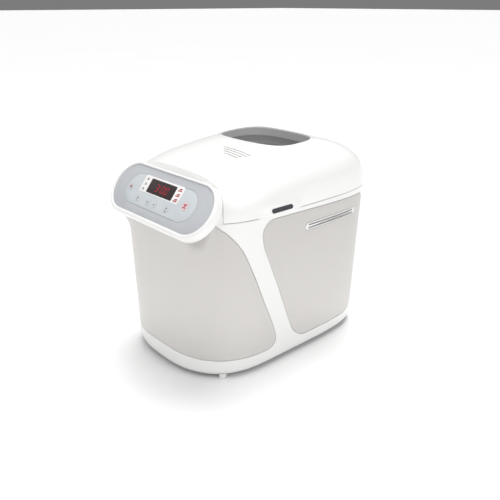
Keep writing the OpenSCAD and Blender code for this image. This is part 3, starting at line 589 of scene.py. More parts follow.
def build_housing():
    white = Finish("white_gloss_shell", (0.885, 0.885, 0.87), 0.3, coat=0.35)
    white.tones(0.09, 3, (0.885, 0.885, 0.872), (0.893, 0.893, 0.882))
    white.gloss(white.noise(0.03, 4), 0.29, 0.32)
    white.bump(white.noise(0.003, 2), 0.01, 0.00005)
    turns = [turn_at((i + 0.5) / 360 * ROUND) for i in range(360)]
    rows = [(BASE_Z + 3 * MM, -SHELL_T), (BASE_Z, -SHELL_T + 1 * MM), (BASE_Z, -6.5 * MM)]
    rows += [(BASE_Z + (7 - 7 * math.cos(a)) * MM, -6.5 * MM + 6.5 * MM * math.sin(a))
             for a in (math.radians(k) for k in range(15, 91, 15))]
    rows += [(SKIRT_Z + (PLAN_TOP - 2 * MM - SKIRT_Z) * k / 24, 0) for k in range(25)]
    rows += [(PLAN_TOP - 0.7 * MM, -0.12 * MM), (PLAN_TOP - 0.15 * MM, -0.6 * MM), (PLAN_TOP, -1.3 * MM),
             (PLAN_TOP, -SHELL_T + 0.4 * MM), (PLAN_TOP - 1 * MM, -SHELL_T)]
    rings = [[wall_point(z, out, t) for t in turns] for z, out in rows]
    shell = ring_piece("white_housing", rings, "tube")
    pod_rings = [[on_face(p, w * MM) for p in stadium(RIM_LEN + g * MM, RIM_R + g * MM, 200, RIM_V)]
                 for g, w in ((-8, -11.3), (-1.5, -11.3), (-0.1, -10.6), (0.3, -9.6), (0.3, 80))]
    pod = ring_piece("cutter", pod_rings)
    core = prism(stadium(FACE_HALF_LEN - 11 * MM, FACE_HALF_H - 11 * MM, 120), -21 * MM, 80 * MM, on_face)
    cutters = [wall_cutter(front_side), wall_cutter(right_side), wall_cutter(right_side, -1), pod, core]
    for side in (-1, 1):
        bar = stadium(GRILLE_HALF + 0.4 * MM, GRILLE_R + 0.4 * MM, 96)
        cutters.append(prism(bar, side * (HALF_W - 30 * MM), side * (HALF_W + 20 * MM),
                             lambda p, x: Vector((x, GRILLE_Y + p.x, GRILLE_Z + p.y))))
    carve(shell, cutters)
    smooth(shell.data, 28)
    return finish_piece(shell, white, "machine", "white_shell", "housing"), white


housing, white_gloss = build_housing()


# ---- silver panels ----
# Thin panels in satin silver lacquer that sit in the housing's sunken places: one round the
# front, which swells out to carry the console's rim, and one on each side.
def silver_finish():
    silver = Finish("satin_silver", (0.62, 0.61, 0.595), 0.36, metallic=0.55, coat=0.15, coat_roughness=0.2)
    flake = silver.noise(0.0006, 2)
    cloud = silver.noise(0.12, 3)
    place = silver.node("ShaderNodeTexCoord", "Object")
    height = silver.node("ShaderNodeSeparateXYZ", "Z", Vector=place)
    # Painted shade: the panels' colour darkens towards the top and lightens towards the bottom, standing in
    # for light thrown up from the floor.
    lacquer_with_painted_shade = silver.blend(silver.span(height, 0.03, 0.23), (0.625, 0.605, 0.585), (0.52, 0.50, 0.478))
    base = silver.blend(silver.span(cloud, 0.3, 0.7, 0.0, 0.12), lacquer_with_painted_shade, (0.64, 0.63, 0.615))
    glint = silver.span(flake, 0.35, 0.75, 0.0, 0.5)
    silver.feed("Base Color", silver.blend(glint, base, (0.66, 0.65, 0.635)))
    silver.gloss(silver.noise(0.003, 3), 0.32, 0.42)
    silver.bump(flake, 0.05, 0.00005)
    return silver


satin_silver = silver_finish()
LIP = [(0.15, -2.0 * MM), (0.0, -1.2 * MM), (0.0, -0.55 * MM), (0.1, -0.25 * MM), (0.3, -0.08 * MM),
       (0.6, 0), (2.0, 0)]


def front_place(spot, out):
    length = spot.x * MM
    if length > ROUND / 2:
        length -= ROUND
    return bulge(on_wall(spot, out), length)


front = new_object("front_panel_skin", panel_mesh("front_panel_skin", front_side, LIP, front_place, 60))
smooth(front.data, 50)
finish_piece(front, satin_silver, "machine", "silver_skin", "front_panel", "neck_fairing")
for side, name in ((1, "right"), (-1, "left")):
    def side_place(spot, out):
        point = on_wall(spot, out)
        return Vector((point.x * side, point.y, point.z))
    skin = new_object(name + "_panel_skin", panel_mesh(name + "_panel_skin", right_side, LIP, side_place, 40))
    opening = prism(stadium(GRILLE_HALF + 0.5 * MM, GRILLE_R + 0.5 * MM, 96), side * (HALF_W - 30 * MM),
                    side * (HALF_W + 20 * MM), lambda p, x: Vector((x, GRILLE_Y + p.x, GRILLE_Z + p.y)))
    carve(skin, [opening])
    smooth(skin.data, 40)
    finish_piece(skin, satin_silver, "machine", "silver_skin", name + "_panel")


# ---- air grilles ----
# A white moulded bar with two long slots, clipped through each side panel. It stands a little
# proud of the panel with a soft edge, and the slots open into the dark space behind.
def wall_x(y, z, out=0.0):
    """How far out the side wall is at a place on the machine's right."""
    grow = (z - PLAN_TOP) * FLARE + out
    behind = y >= WIDEST_Y
    power = REAR_POWER if behind else FRONT_POWER
    depth = (REAR_LEN if behind else FRONT_LEN) + grow
    share = min(1.0, abs(y - WIDEST_Y) / depth)
    return (HALF_W + grow) * (1 - share ** power) ** (1 / power)


GRILLE_LIP = [(0, -4.0), (0, -0.4), (0.25, 0.3), (0.8, 0.7), (1.5, 0.75), (2.0, 0.7)]
white_trim = Finish("white_gloss_trim", (0.88, 0.88, 0.87), 0.25, coat=0.4)
white_trim.gloss(white_trim.noise(0.015, 4), 0.21, 0.3)
white_trim.bump(white_trim.noise(0.003, 2), 0.02, 0.0001)
for side, name in ((1, "right"), (-1, "left")):
    def grille_place(spot, out):
        y, z = GRILLE_Y + spot.x, GRILLE_Z + spot.y
        return Vector((side * (wall_x(y, z) + out), y, z))
    rows = []
    for inset, out in GRILLE_LIP:
        ring = stadium(GRILLE_HALF - inset * MM, GRILLE_R - inset * MM, 200)
        rows.append([grille_place(p, out * MM) for p in ring])
    crown = stadium(GRILLE_HALF - 0.8 * GRILLE_R, 0.2 * GRILLE_R, 200)
    rows.append([grille_place(p, 0.7 * MM) for p in crown])
    plate = ring_piece(name + "_grille_bar", rows)
    slots = []
    for dz in (-0.43 * GRILLE_R, 0.43 * GRILLE_R):
        bar = stadium(GRILLE_HALF - 4.5 * MM, 1.2 * MM, 80)
        slots.append(prism(bar, side * (HALF_W - 20 * MM), side * (HALF_W + 20 * MM),
                           lambda p, x: Vector((x, GRILLE_Y + p.x, GRILLE_Z + dz + p.y))))
    carve(plate, slots)
    smooth(plate.data, 30)
    finish_piece(plate, white_trim, "machine", "white_trim", name + "_grille")


# ---- console ----
# A white moulded pod, shaped like a long bar with round ends, that leans back over the front
# panel. Its rim stands up round the grey face, and a thin wall behind it meets the lid.
def face_loop(share, w, shrink=0.0, count=260):
    """A loop of the pod, part of the way from the face's edge out to the rim's edge."""
    half_len = FACE_HALF_LEN + (RIM_LEN - FACE_HALF_LEN) * share - shrink
    radius = FACE_HALF_H + (RIM_R - FACE_HALF_H) * share - shrink
    return [on_face(p, w) for p in stadium(half_len, radius, count, RIM_V * share)]


POD_PROFILE = [(0, -2.4), (0, 0.5), (0.05, 1.05), (0.16, 1.4), (0.34, 1.5), (0.55, 1.3), (0.75, 0.7),
               (0.9, -0.4), (0.98, -1.9), (1, -3.6), (1, -9.4), (0.985, -10.2), (0.94, -10.75), (0.85, -11),
               (0.5, -11), (0.2, -11)]


def back_edge(x):
    """How far back the pod reaches at each x, on the level."""
    over = max(0.0, abs(x) - RIM_LEN + RIM_R)
    v = RIM_V + math.sqrt(max(0.0, RIM_R ** 2 - over ** 2))
    return FACE_MID.y + v * math.cos(FACE_TILT) + POD_T * math.sin(FACE_TILT)


# how far the cutting blocks reach past everything
FAR = 0.3
CUT_LOW, CUT_HIGH = 0.2, 0.4
LID_LINE = shell_box[1].z
LID_Z = LID_LINE + 0.8 * MM
DOME_POWER = 2.83
# the crown's height at y = 0, its slope and its curve, for y in tenths of a metre
CROWN, CROWN_SLOPE, CROWN_CURVE = 73.5, 11.8, -4.8
HOOD_T = 2.4 * MM
HINGE_Y = 170.4 * MM
HINGE_Z = 236 * MM


def dome_rise(y):
    return (CROWN + CROWN_SLOPE * y * 10 + CROWN_CURVE * (y * 10) ** 2) * MM


def dome_z(x, y):
    """The lid's height over a plan point."""
    ahead = y < WIDEST_Y
    power = FRONT_POWER if ahead else REAR_POWER
    depth = FRONT_LEN if ahead else REAR_LEN
    s = (abs(x / HALF_W) ** power + abs((y - WIDEST_Y) / depth) ** power) ** (1 / power)
    return LID_Z + dome_rise(y) * max(0.0, 1 - s ** DOME_POWER) ** (1 / DOME_POWER)


def upright(p, z):
    return Vector((p.x, p.y, z))


def dome_rings(inset, grips, base, count=300):
    """The dome's rings from its rim up to its top, with the finger ledges if they are wanted."""
    turns = [turn_at((i + 0.5) / count * ROUND) for i in range(count)]
    heights = [0.012 * k for k in range(1, 18)]
    start = math.asin(heights[-1] ** (DOME_POWER / 2))
    heights += [math.sin(start + (math.pi / 2 - start) * k / 52) ** (2 / DOME_POWER) for k in range(1, 52)]
    rings = []
    for extra, z in ((0.7, base), (0.2, base + 0.2 * MM)) if grips else ((0.0, base),):
        rings.append([upright(wall_point(LID_LINE, -inset - extra * MM, t), z) for t in turns])
    for high in heights:
        s = max(0.0, 1 - high ** DOME_POWER) ** (1 / DOME_POWER)
        ring = []
        for t in turns:
            p = wall_point(LID_LINE, -inset, t)
            x, y = p.x * s, WIDEST_Y + (p.y - WIDEST_Y) * s
            ring.append(Vector((x, y, LID_Z + (dome_rise(y) - inset) * high)))
        rings.append(ring)
    if grips:
        for p in (p for ring in rings for p in ring if abs(p.x) > HALF_W * 0.7):
            p.x += math.copysign(ledge_push(p.y, p.z), p.x)
    return rings


def plan_cutter(back):
    """A block over everything in front of the console's back edge, moved back a little."""
    edge = [(HALF_W * 2, -FAR), (HALF_W * 2, FACE_MID.y + back), (RIM_LEN + back, FACE_MID.y + back)]
    outline = [Vector(p) for p in edge]
    for i in range(61):
        x = RIM_LEN * math.cos(math.pi * i / 60)
        outline.append(Vector((x + math.copysign(back, x), back_edge(x) + back)))
    outline += [Vector((-x, y)) for x, y in reversed(edge)]
    return prism(outline, CUT_LOW, CUT_HIGH, upright)


pod_rows = [face_loop(share, w * MM) for share, w in POD_PROFILE]
pod_rows += [face_loop(0, -POD_T, 5 * MM), face_loop(0, -POD_T - 0.6 * MM, 9.5 * MM)]
pod_rows += [face_loop(0, -POD_T - 2.5 * MM, 11.6 * MM), face_loop(0, -20 * MM, 12 * MM)]
pod = ring_piece("console_pod", pod_rows)
hood = ring_piece("hood", dome_rings(0, False, LID_LINE + 0.05 * MM))
square = [Vector((x * FAR, y * FAR)) for x, y in ((-1, -1), (1, -1), (1, 1), (-1, 1))]
behind_pod = prism(square, -0.2, -POD_T + 0.8 * MM, on_face)
carve(hood, [plan_cutter(-0.05 * MM)], "INTERSECT")
carve(hood, [behind_pod], "INTERSECT")
carve(pod, [hood], "UNION")
smooth(pod.data, 36)
finish_piece(pod, white_gloss, "machine", "white_shell", "console_shell")


# ---- console face ----
# A satin grey overlay with a paler key field let into its middle, and a white printed frame
# round the display with three marks on each side of it.
def plate_mesh(name, loops):
    return ring_mesh(name, [[on_face(p, w) for p in ring] for ring, w in loops])


def slab(name, ring_of, low, high, edge=0.25 * MM):
    """A flat plate on the face with a softened top edge. ring_of(inset) gives its outline."""
    steps = ((0, low), (0, high - edge), (edge * 0.3, high - edge * 0.3), (edge, high))
    return new_object(name, plate_mesh(name, [(ring_of(inset), w) for inset, w in steps]))


def satin(name, low, high, roughness, grain=0.0005):
    """A moulded satin plastic: two close tones, fine grain and a faint sheen."""
    finish = Finish(name, low, roughness)
    finish.tones(0.02, 4, low, high)
    finish.gloss(finish.noise(0.004, 3), roughness - 0.05, roughness + 0.06)
    finish.bump(finish.noise(grain, 2), 0.06, 0.00004)
    return finish


FIELD_LEN, FIELD_R, FIELD_U = 77 * MM, 22.8 * MM, -1 * MM
grey_face = satin("satin_grey_face", (0.49, 0.505, 0.53), (0.515, 0.53, 0.552), 0.42)
key_field = satin("pale_key_field", (0.56, 0.60, 0.625), (0.59, 0.625, 0.655), 0.4)


def bar_ring(half_len, r, u, count=200):
    return lambda inset: [p + Vector((u, 0)) for p in stadium(half_len - inset, r - inset, count)]


def through_face(outline):
    return prism(outline, -6 * MM, 6 * MM, on_face)


face_ring = bar_ring(FACE_HALF_LEN - 0.1 * MM, FACE_HALF_H - 0.1 * MM, 0, 260)
face = slab("grey_console_face", face_ring, -1.9 * MM, -0.1 * MM)
carve(face, [through_face(bar_ring(FIELD_LEN, FIELD_R, FIELD_U)(-0.25 * MM))])
smooth(face.data, 40)
finish_piece(face, grey_face, "machine", "grey_face", "console_face")

display_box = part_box("display_lens")
DISPLAY_U = (display_box[0].x + display_box[1].x) / 2
DISPLAY_V = 10 * MM
DISPLAY_HALF = ((display_box[1].x - display_box[0].x) / 2, 10.3 * MM)


def box_ring(half_u, half_v, r, u, v, steps=8):
    def ring(inset):
        a, b, c = half_u - inset, half_v - inset, max(r - inset, 0.0001)
        corners = rounded([(a, -b, c), (a, b, c), (-a, b, c), (-a, -b, c)], steps)
        return [p + Vector((u, v)) for p in corners]
    return ring


KEY_SPOTS = {"key_menu": (-69, -1, 5.0), "key_colour": (-42, -13, 4.4), "key_time_down": (-18, -13, 4.4),
             "key_time_up": (-2, -13, 4.4), "key_size": (25, -13, 4.4), "key_start": (56, 0, 6.0)}


def circle(u, v, r, count=56):
    return [Vector((u + r * math.cos(a), v + r * math.sin(a)))
            for a in (2 * math.pi * i / count for i in range(count))]


def display_hole(gap, r):
    """A block that clears the display by a gap."""
    half_u, half_v = DISPLAY_HALF
    return through_face(box_ring(half_u + gap, half_v + gap, r, DISPLAY_U, DISPLAY_V)(0))


plate_ring = bar_ring(FIELD_LEN - 0.1 * MM, FIELD_R - 0.1 * MM, FIELD_U)
plate = slab("pale_key_plate", plate_ring, -1.9 * MM, 0.05 * MM)
holes = [display_hole(0.25 * MM, 1.7 * MM)]
for u, v, r in KEY_SPOTS.values():
    holes.append(through_face(circle(u * MM, v * MM, (r + 0.3) * MM)))
carve(plate, holes)
smooth(plate.data, 40)
finish_piece(plate, key_field, "machine", "key_film", "key_plate")


def join_meshes(name, meshes):
    work = bmesh.new()
    for mesh in meshes:
        work.from_mesh(mesh)
        bpy.data.meshes.remove(mesh)
    data = bpy.data.meshes.new(name)
    work.to_mesh(data)
    work.free()
    return data


surround_ink = satin("white_print", (0.86, 0.84, 0.83), (0.9, 0.88, 0.87), 0.45)
frame_ring = box_ring(44.5 * MM, 12.4 * MM, 2.4 * MM, -4.8 * MM, 10.6 * MM)
surround = slab("display_surround", frame_ring, -0.05 * MM, 0.16 * MM, 0.06 * MM)
carve(surround, [display_hole(0.2 * MM, 1.6 * MM)])
smooth(surround.data, 40)
finish_piece(surround, surround_ink, "machine", "key_caps")


def ink_marks(name, rings, finish, body="machine", slot="display_dark", level=0.2 * MM):
    """Small printed marks, each a thin flat island."""
    meshes = [plate_mesh(name, [(ring, level - 0.1 * MM), (ring, level)]) for ring in rings]
    marks = new_object(name, join_meshes(name, meshes))
    return finish_piece(marks, finish, body, slot)


def stroke(u0, v0, u1, v1, width):
    """The outline of a short straight line with round ends, in mm."""
    a, b = Vector((u0, v0)) * MM, Vector((u1, v1)) * MM
    lean = math.atan2(b.y - a.y, b.x - a.x)
    r = width / 2 * MM
    out = []
    for end, start in ((b, -math.pi / 2), (a, math.pi / 2)):
        turns = [lean + start + math.pi * k / 6 for k in range(7)]
        out += [end + Vector((math.cos(turn), math.sin(turn))) * r for turn in turns]
    return out


grey_ink = satin("grey_print", (0.12, 0.11, 0.115), (0.15, 0.14, 0.145), 0.5)
red_ink = satin("red_print", (0.33, 0.02, 0.035), (0.38, 0.03, 0.045), 0.5)
loaf_marks, dough_marks = [], []
for v in (17.6, 10, 2.6):
    loaf_marks += [stroke(-43.4, v - 1.2, -40.2, v - 1.2, 1.1), stroke(-43.0, v + 0.7, -40.6, v + 0.7, 1.6)]
    dough_marks += [stroke(28.9, v - 1.4, 36.0, v - 1.1, 1.5), stroke(31.2, v + 0.8, 35.4, v + 1.6, 2.0)]
ink_marks("loaf_size_marks", loaf_marks, grey_ink)
ink_marks("crust_marks", dough_marks, red_ink, slot="display_red")


# ---- display ----
# A smoked lens over a red digit module. The digits are lit bars seen through the lens, and
# they show a generic time.
lens_finish = Finish("smoked_lens", (0.02, 0.016, 0.017), 0.12, coat=0.6, coat_roughness=0.04)
lens_finish.tones(0.03, 2, (0.022, 0.016, 0.017), (0.034, 0.017, 0.019))
lens_finish.gloss(lens_finish.noise(0.006, 3), 0.1, 0.17)
lens_ring = box_ring(*DISPLAY_HALF, 1.5 * MM, DISPLAY_U, DISPLAY_V)
lens = slab("display_lens_plate", lens_ring, -1.9 * MM, -0.05 * MM)
smooth(lens.data, 40)
finish_piece(lens, lens_finish, "machine", "display_dark", "display_lens")

SEGMENTS = {"top": ((-1, 2), (1, 2)), "high_left": ((-1, 2), (-1, 0)), "high_right": ((1, 2), (1, 0)),
            "middle": ((-1, 0), (1, 0)), "low_left": ((-1, 0), (-1, -2)), "low_right": ((1, 0), (1, -2)),
            "bottom": ((-1, -2), (1, -2))}
DIGITS = {3: ("top", "high_right", "middle", "low_right", "bottom"),
          0: ("top", "high_left", "high_right", "low_left", "low_right", "bottom")}


def digit_rings(value, u, v, size):
    rings = []
    for name in DIGITS[value]:
        (x0, y0), (x1, y1) = SEGMENTS[name]
        a, b = Vector((x0, y0)) * size, Vector((x1, y1)) * size
        along = (b - a).normalized() * size * 0.28
        a, b = a + along, b - along
        lean = lambda p: (u + p.x + p.y * 0.12, v + p.y)
        rings.append(stroke(*lean(a), *lean(b), size * 0.36))
    return rings


digit_finish = Finish("lit_digits", (0.45, 0.01, 0.02), 0.4)
glow = digit_finish.blend(digit_finish.patches(0.002, 2), (0.33, 0.006, 0.02), (0.5, 0.012, 0.03))
digit_finish.feed("Base Color", glow)
digit_finish.feed("Emission Color", glow)
digit_finish.shader.inputs["Emission Strength"].default_value = 0.35
digits = digit_rings(3, -14, 9.6, 2.5) + digit_rings(0, -1.5, 9.6, 2.5) + digit_rings(0, 7, 9.6, 2.5)
digits += [stroke(-8.3, 8, -8.3, 8.1, 1.1), stroke(-7.9, 11.6, -7.9, 11.7, 1.1)]
ink_marks("display_digits", digits, digit_finish, slot="display_red", level=0.0)


# ---- keys ----
# Six soft-capped push keys that travel less than a millimetre into the face. Each cap is a
# shallow dome with a small printed sign.
cap_finish = satin("pale_key_caps", (0.56, 0.585, 0.6), (0.59, 0.61, 0.63), 0.45)
start_finish = satin("pink_start_cap", (0.74, 0.56, 0.58), (0.78, 0.6, 0.62), 0.45)
KEY_SIGNS = {
    "key_menu": [stroke(-71.4, -1.9, -66.8, -1.9, 1.2), stroke(-71, 0.3, -67.4, 0.3, 1.3)],
    "key_colour": [stroke(-43.6, -15, -40.6, -11, 1.0), stroke(-43, -12, -42.4, -11.4, 0.8)],
    "key_time_down": [stroke(-19.6, -12, -18, -13.8, 0.8), stroke(-16.4, -12, -18, -13.8, 0.8)],
    "key_time_up": [stroke(-3.6, -14, -2, -12.2, 0.8), stroke(-0.4, -14, -2, -12.2, 0.8)],
    "key_size": [stroke(24.2, -15.2, 25.4, -15.2, 1.6), stroke(24.6, -11.6, 25.8, -11.4, 1.9)],
    "key_start": [stroke(53.4, -2.2, 58.4, -2.2, 1.5), stroke(53.6, 2, 58.8, 2.2, 1.7),
                  stroke(55, 0, 57.6, 0, 1.0)],
}
for key, (u, v, r) in KEY_SPOTS.items():
    profile = [(r + 0.8, -4.4), (r + 0.8, -2.8), (r, -2.7), (r, 0.1)]
    for a in (k / 7 * math.pi / 2 for k in range(1, 7)):
        profile.append((r * (1 - 0.16 * (1 - math.cos(a))), 0.1 + 0.4 * math.sin(a)))
    profile += [(r * share, 0.5 + 0.08 * (1 - share)) for share in (0.7, 0.4, 0.1)]
    loops = [(circle(u * MM, v * MM, reach * MM), w * MM) for reach, w in profile]
    cap = new_object(key + "_cap", plate_mesh(key + "_cap", loops))
    smooth(cap.data, 50)
    start = key == "key_start"
    finish_piece(cap, start_finish if start else cap_finish, key, "start_cap" if start else "key_caps", key)
    dark = red_ink if key in ("key_start", "key_menu") else grey_ink
    ink_marks(key + "_sign", KEY_SIGNS[key], dark, key, "display_dark", 0.66 * MM)


# ---- lid ----
# A white moulded dome with a window, four steam slots and, on each side, a ledge for the
# fingers. Its front is cut away behind the console, and it turns on two pins at the rear.
LEDGE_MID = (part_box("grip_pads")[0].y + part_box("grip_pads")[1].y) / 2
LEDGE_HALF = 38 * MM
LEDGE_OUT = 4.4 * MM
SLOT_R = 1.15 * MM
# where the blocks that cut the lid's top start, and a y behind the whole machine
SLOT_LOW = 0.25
BEHIND = 0.21
HINGE_X = 62 * MM
HINGE_R, PIN_R = 4.4 * MM, 2.02 * MM
NOTCH_HALF = 4.1 * MM
window_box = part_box("window_ring")
WINDOW_Y = (window_box[0].y + window_box[1].y) / 2
WINDOW_HALF = (window_box[1].x, (window_box[1].y - window_box[0].y) / 2)


def ledge_push(y, z):
    """How far the finger ledge stands out at a place on the lid's side."""
    q = min(1.0, abs(y - LEDGE_MID) / LEDGE_HALF)
    along = max(0.0, 1 - q ** 3.4) ** (1 / 2.2)
    climb = (z - LID_Z) / MM
    return LEDGE_OUT * along * (1 - ease((climb - 3.0) / 13.0))


def window_ring_at(grow, count=160):
    """The window's outline, a squarish oval."""
    a, b = WINDOW_HALF[0] + grow, WINDOW_HALF[1] + grow
    dense = [Vector((a * plan_power(math.cos(t), 2 / 2.75), WINDOW_Y + b * plan_power(math.sin(t), 2 / 2.75)))
             for t in (2 * math.pi * i / 1200 for i in range(1200))]
    return even(dense, count)


lid = ring_piece("lid_dome", dome_rings(0, True, LID_Z))
inside = ring_piece("inside", dome_rings(2.6 * MM, False, LID_Z - 0.5 * MM))
carve(inside, [plan_cutter(0.4 * MM + HOOD_T)])
slots = []
for row in range(4):
    mid = Vector((33 + 2 * row, WIDEST_Y / MM + 10 - 5.5 * row)) * MM
    outline = [p + mid for p in stadium((29 - 4.7 * row) * MM, SLOT_R, 60)]
    slots.append(prism(outline, SLOT_LOW, CUT_HIGH, upright))
relief = [(HINGE_Y, LID_Z - 2 * MM), (BEHIND, LID_Z - 2 * MM), (BEHIND, HINGE_Z)]
relief.append((HINGE_Y + HINGE_R, HINGE_Z))
for a in (math.pi / 2 * k / 10 for k in range(1, 10)):
    relief.append((HINGE_Y + HINGE_R * math.cos(a), HINGE_Z - HINGE_R * math.sin(a)))
relief_cut = prism([Vector(p) for p in relief], -0.2, 0.2, lambda p, x: Vector((x, p.x, p.y)))
notches = []
for side in (-1, 1):
    corners = ((-1, HINGE_Y - 6 * MM), (1, HINGE_Y - 6 * MM), (1, BEHIND), (-1, BEHIND))
    outline = [Vector((side * HINGE_X + dx * NOTCH_HALF, y)) for dx, y in corners]
    notches.append(prism(outline, LID_Z - 1 * MM, LID_Z + 11 * MM, upright))
window_hole = prism(window_ring_at(0.3 * MM), SLOT_LOW, CUT_HIGH, upright)
carve(lid, [inside, plan_cutter(0.3 * MM), window_hole, *slots, relief_cut, *notches])


def knuckle(start):
    """A short tube on the hinge line, from a given x."""
    end = start + 8 * MM
    steps = ((start, PIN_R), (start, HINGE_R), (end, HINGE_R), (end, PIN_R))
    rings = [[Vector((x, p.x, p.y)) for p in circle(HINGE_Y, HINGE_Z, r, 40)] for x, r in steps]
    return ring_mesh("knuckle", rings, "tube")


knuckles = [knuckle(side * HINGE_X + low * MM) for side in (-1, 1) for low in (-12.1, 4.1)]
carve(lid, [new_object("knuckles", join_meshes("knuckles", knuckles))], "UNION")
smooth(lid.data, 30)
finish_piece(lid, white_gloss, "lid", "white_shell", "lid_shell")


# ---- window ----
# A white ring pressed into the lid's opening, with a low lip that follows the dome and a wall
# down to a smoked glass plate. A second plate under it closes the oven.
glass_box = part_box("window_glass")
GLASS_TOP = glass_box[1].z
RING_PROFILE = [(3.6, -0.4), (3.6, 0.25), (3.3, 0.6), (2.8, 0.75), (1.0, 0.8), (-0.2, 0.72), (-0.9, 0.35),
                (-1.2, -0.3), (-1.2, -2.2), (-0.2, -2.2), (-0.2, -0.4)]


def on_dome(grow, up):
    """A window outline laid on the dome, in mm from the opening and from the dome."""
    return [upright(p, dome_z(p.x, p.y) + up * MM) for p in window_ring_at(grow * MM, 240)]


bezel = ring_piece("window_bezel", [on_dome(grow, up) for grow, up in RING_PROFILE], "tube")
smooth(bezel.data, 50)
finish_piece(bezel, white_trim, "lid", "white_trim", "window_ring")
well_grey = satin("grey_window_wall", (0.54, 0.54, 0.535), (0.58, 0.58, 0.575), 0.5)
wall_rows = []
for k in range(9):
    low, inward = k / 8, -1.0 - 1.2 * k / 8
    wall_rows.append([upright(p, (dome_z(p.x, p.y) - 1.6 * MM) * (1 - low) + (GLASS_TOP - 1 * MM) * low)
                      for p in window_ring_at(inward * MM, 240)])
wall_rows.append([upright(p, GLASS_TOP - 1 * MM) for p in window_ring_at(-0.4 * MM, 240)])
wall_rows.append(on_dome(-0.4, -1.6))
well = ring_piece("window_well_wall", wall_rows, "tube")
smooth(well.data, 50)
finish_piece(well, well_grey, "lid", "grey_face")
smoked = Finish("smoked_window_glass", (0.125, 0.125, 0.132), 0.16, coat=0.2)
smoked.tones(0.05, 2, (0.058, 0.058, 0.063), (0.072, 0.072, 0.078))
smoked.gloss(smoked.noise(0.01, 3), 0.14, 0.2)
glass_rows = []
for grow, down in ((-2.4, 3), (-2.4, 0.3), (-2.7, 0)):
    glass_rows.append([upright(p, GLASS_TOP - down * MM) for p in window_ring_at(grow * MM, 200)])
for share in (0.75, 0.5, 0.25, 0.05):
    crown = GLASS_TOP + 0.5 * MM * (1 - share ** 2)
    glass_rows.append([Vector((p.x * share, WINDOW_Y + (p.y - WINDOW_Y) * share, crown))
                       for p in window_ring_at(-2.7 * MM, 200)])
pane = ring_piece("window_pane", glass_rows)
smooth(pane.data, 40)
finish_piece(pane, smoked, "lid", "smoked_glass", "window_glass")


# ---- grip pads ----
# A dark soft pad let into the slope of each finger ledge.
rubber = satin("dark_rubber", (0.035, 0.035, 0.04), (0.05, 0.05, 0.055), 0.55, 0.0008)
pad_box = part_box("grip_pads")
PAD_HALF = (pad_box[1].y - pad_box[0].y) / 2


def ledge_skin(y, z, side):
    """A point on the lid's side, with the ledge, at a height."""
    low, high = HALF_W * 0.6, HALF_W
    for _ in range(30):
        mid = (low + high) / 2
        if dome_z(mid, y) > z:
            low = mid
        else:
            high = mid
    return Vector((side * (low + ledge_push(y, z)), y, z))


PAD_PROFILE = [(0.0, -1.2), (0.0, 0.25), (0.2, 0.5), (0.6, 0.62), (1.4, 0.66), (2.6, 0.66), (3.8, 0.66)]
PAD_R = 2.9
PAD_Z = LID_Z + 6.3 * MM


def pad_mesh(side):
    rings = []
    for shrink, lift in PAD_PROFILE:
        ring = []
        for p in stadium(PAD_HALF - shrink * MM, (PAD_R - 0.7 * shrink) * MM, 120):
            z = PAD_Z + p.y
            y = LEDGE_MID + p.x
            here, above = ledge_skin(y, z, side), ledge_skin(y, z + 0.5 * MM, side)
            slope = (above - here).normalized()
            out = Vector((side * slope.z, 0, abs(slope.x)))
            ring.append(here + out * lift * MM)
        rings.append(ring)
    return ring_mesh("pad", rings)


pads = new_object("grip_pad_pair", join_meshes("grip_pad_pair", [pad_mesh(1), pad_mesh(-1)]))
smooth(pads.data, 50)
finish_piece(pads, rubber, "lid", "pad_rubber", "grip_pads")


# ---- feet ----
# Four short white feet, moulded with a taper and a rounded sole.
feet_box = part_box("feet")
FOOT_SPOTS = [(s * 93 * MM, -0.119974) for s in (-1, 1)] + [(s * 88 * MM, 136 * MM) for s in (-1, 1)]
FOOT_TOP = feet_box[1].z / MM
FOOT_PROFILE = [(4.2, 0.0), (4.8, 0.25), (5.1, 0.9), (5.3, 3), (5.6, 5), (6.2, FOOT_TOP),
                (6.0, FOOT_TOP + 0.4)]
meshes = []
for x, y in FOOT_SPOTS:
    rings = [[upright(p, feet_box[0].z + z * MM) for p in circle(x, y, r * MM, 48)] for r, z in FOOT_PROFILE]
    meshes.append(ring_mesh("foot", rings))
feet = new_object("white_feet", join_meshes("white_feet", meshes))
smooth(feet.data, 40)
finish_piece(feet, white_trim, "machine", "white_trim", "feet")


# ---- bread pan ----
# A deep drawn aluminium pan with a dark non-stick coat, a rolled rim, and a pressed ring
# under it. A wire bail turns in riveted studs, and a seal keeps the dough off the shaft.
pan_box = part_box("bread_pan")
PAN_Y = (pan_box[0].y + pan_box[1].y) / 2
PAN_HALF = (90.4 * MM, 66 * MM)
PAN_LOW, PAN_TOP = pan_box[0].z, pan_box[1].z
coating = Finish("dark_non_stick_coat", (0.075, 0.075, 0.08), 0.42, metallic=0.3)
speckle = coating.noise(0.0007, 2)
flecks = coating.span(speckle, 0.62, 0.7)
coating.feed("Base Color", coating.blend(flecks, (0.07, 0.07, 0.075), (0.17, 0.17, 0.175)))
coating.gloss(coating.noise(0.01, 3), 0.36, 0.5)
coating.bump(speckle, 0.08, 0.00006)


def pan_ring(grow, z, r):
    a, b = PAN_HALF[0] + grow, PAN_HALF[1] + grow
    corners = [(a, -b, r), (a, b, r), (-a, b, r), (-a, -b, r)]
    return [Vector((p.x, PAN_Y + p.y, z)) for p in rounded(corners, 14)]


def pan_rings(profile):
    return [pan_ring(g * MM, PAN_LOW + z * MM, r * MM) for g, z, r in profile]


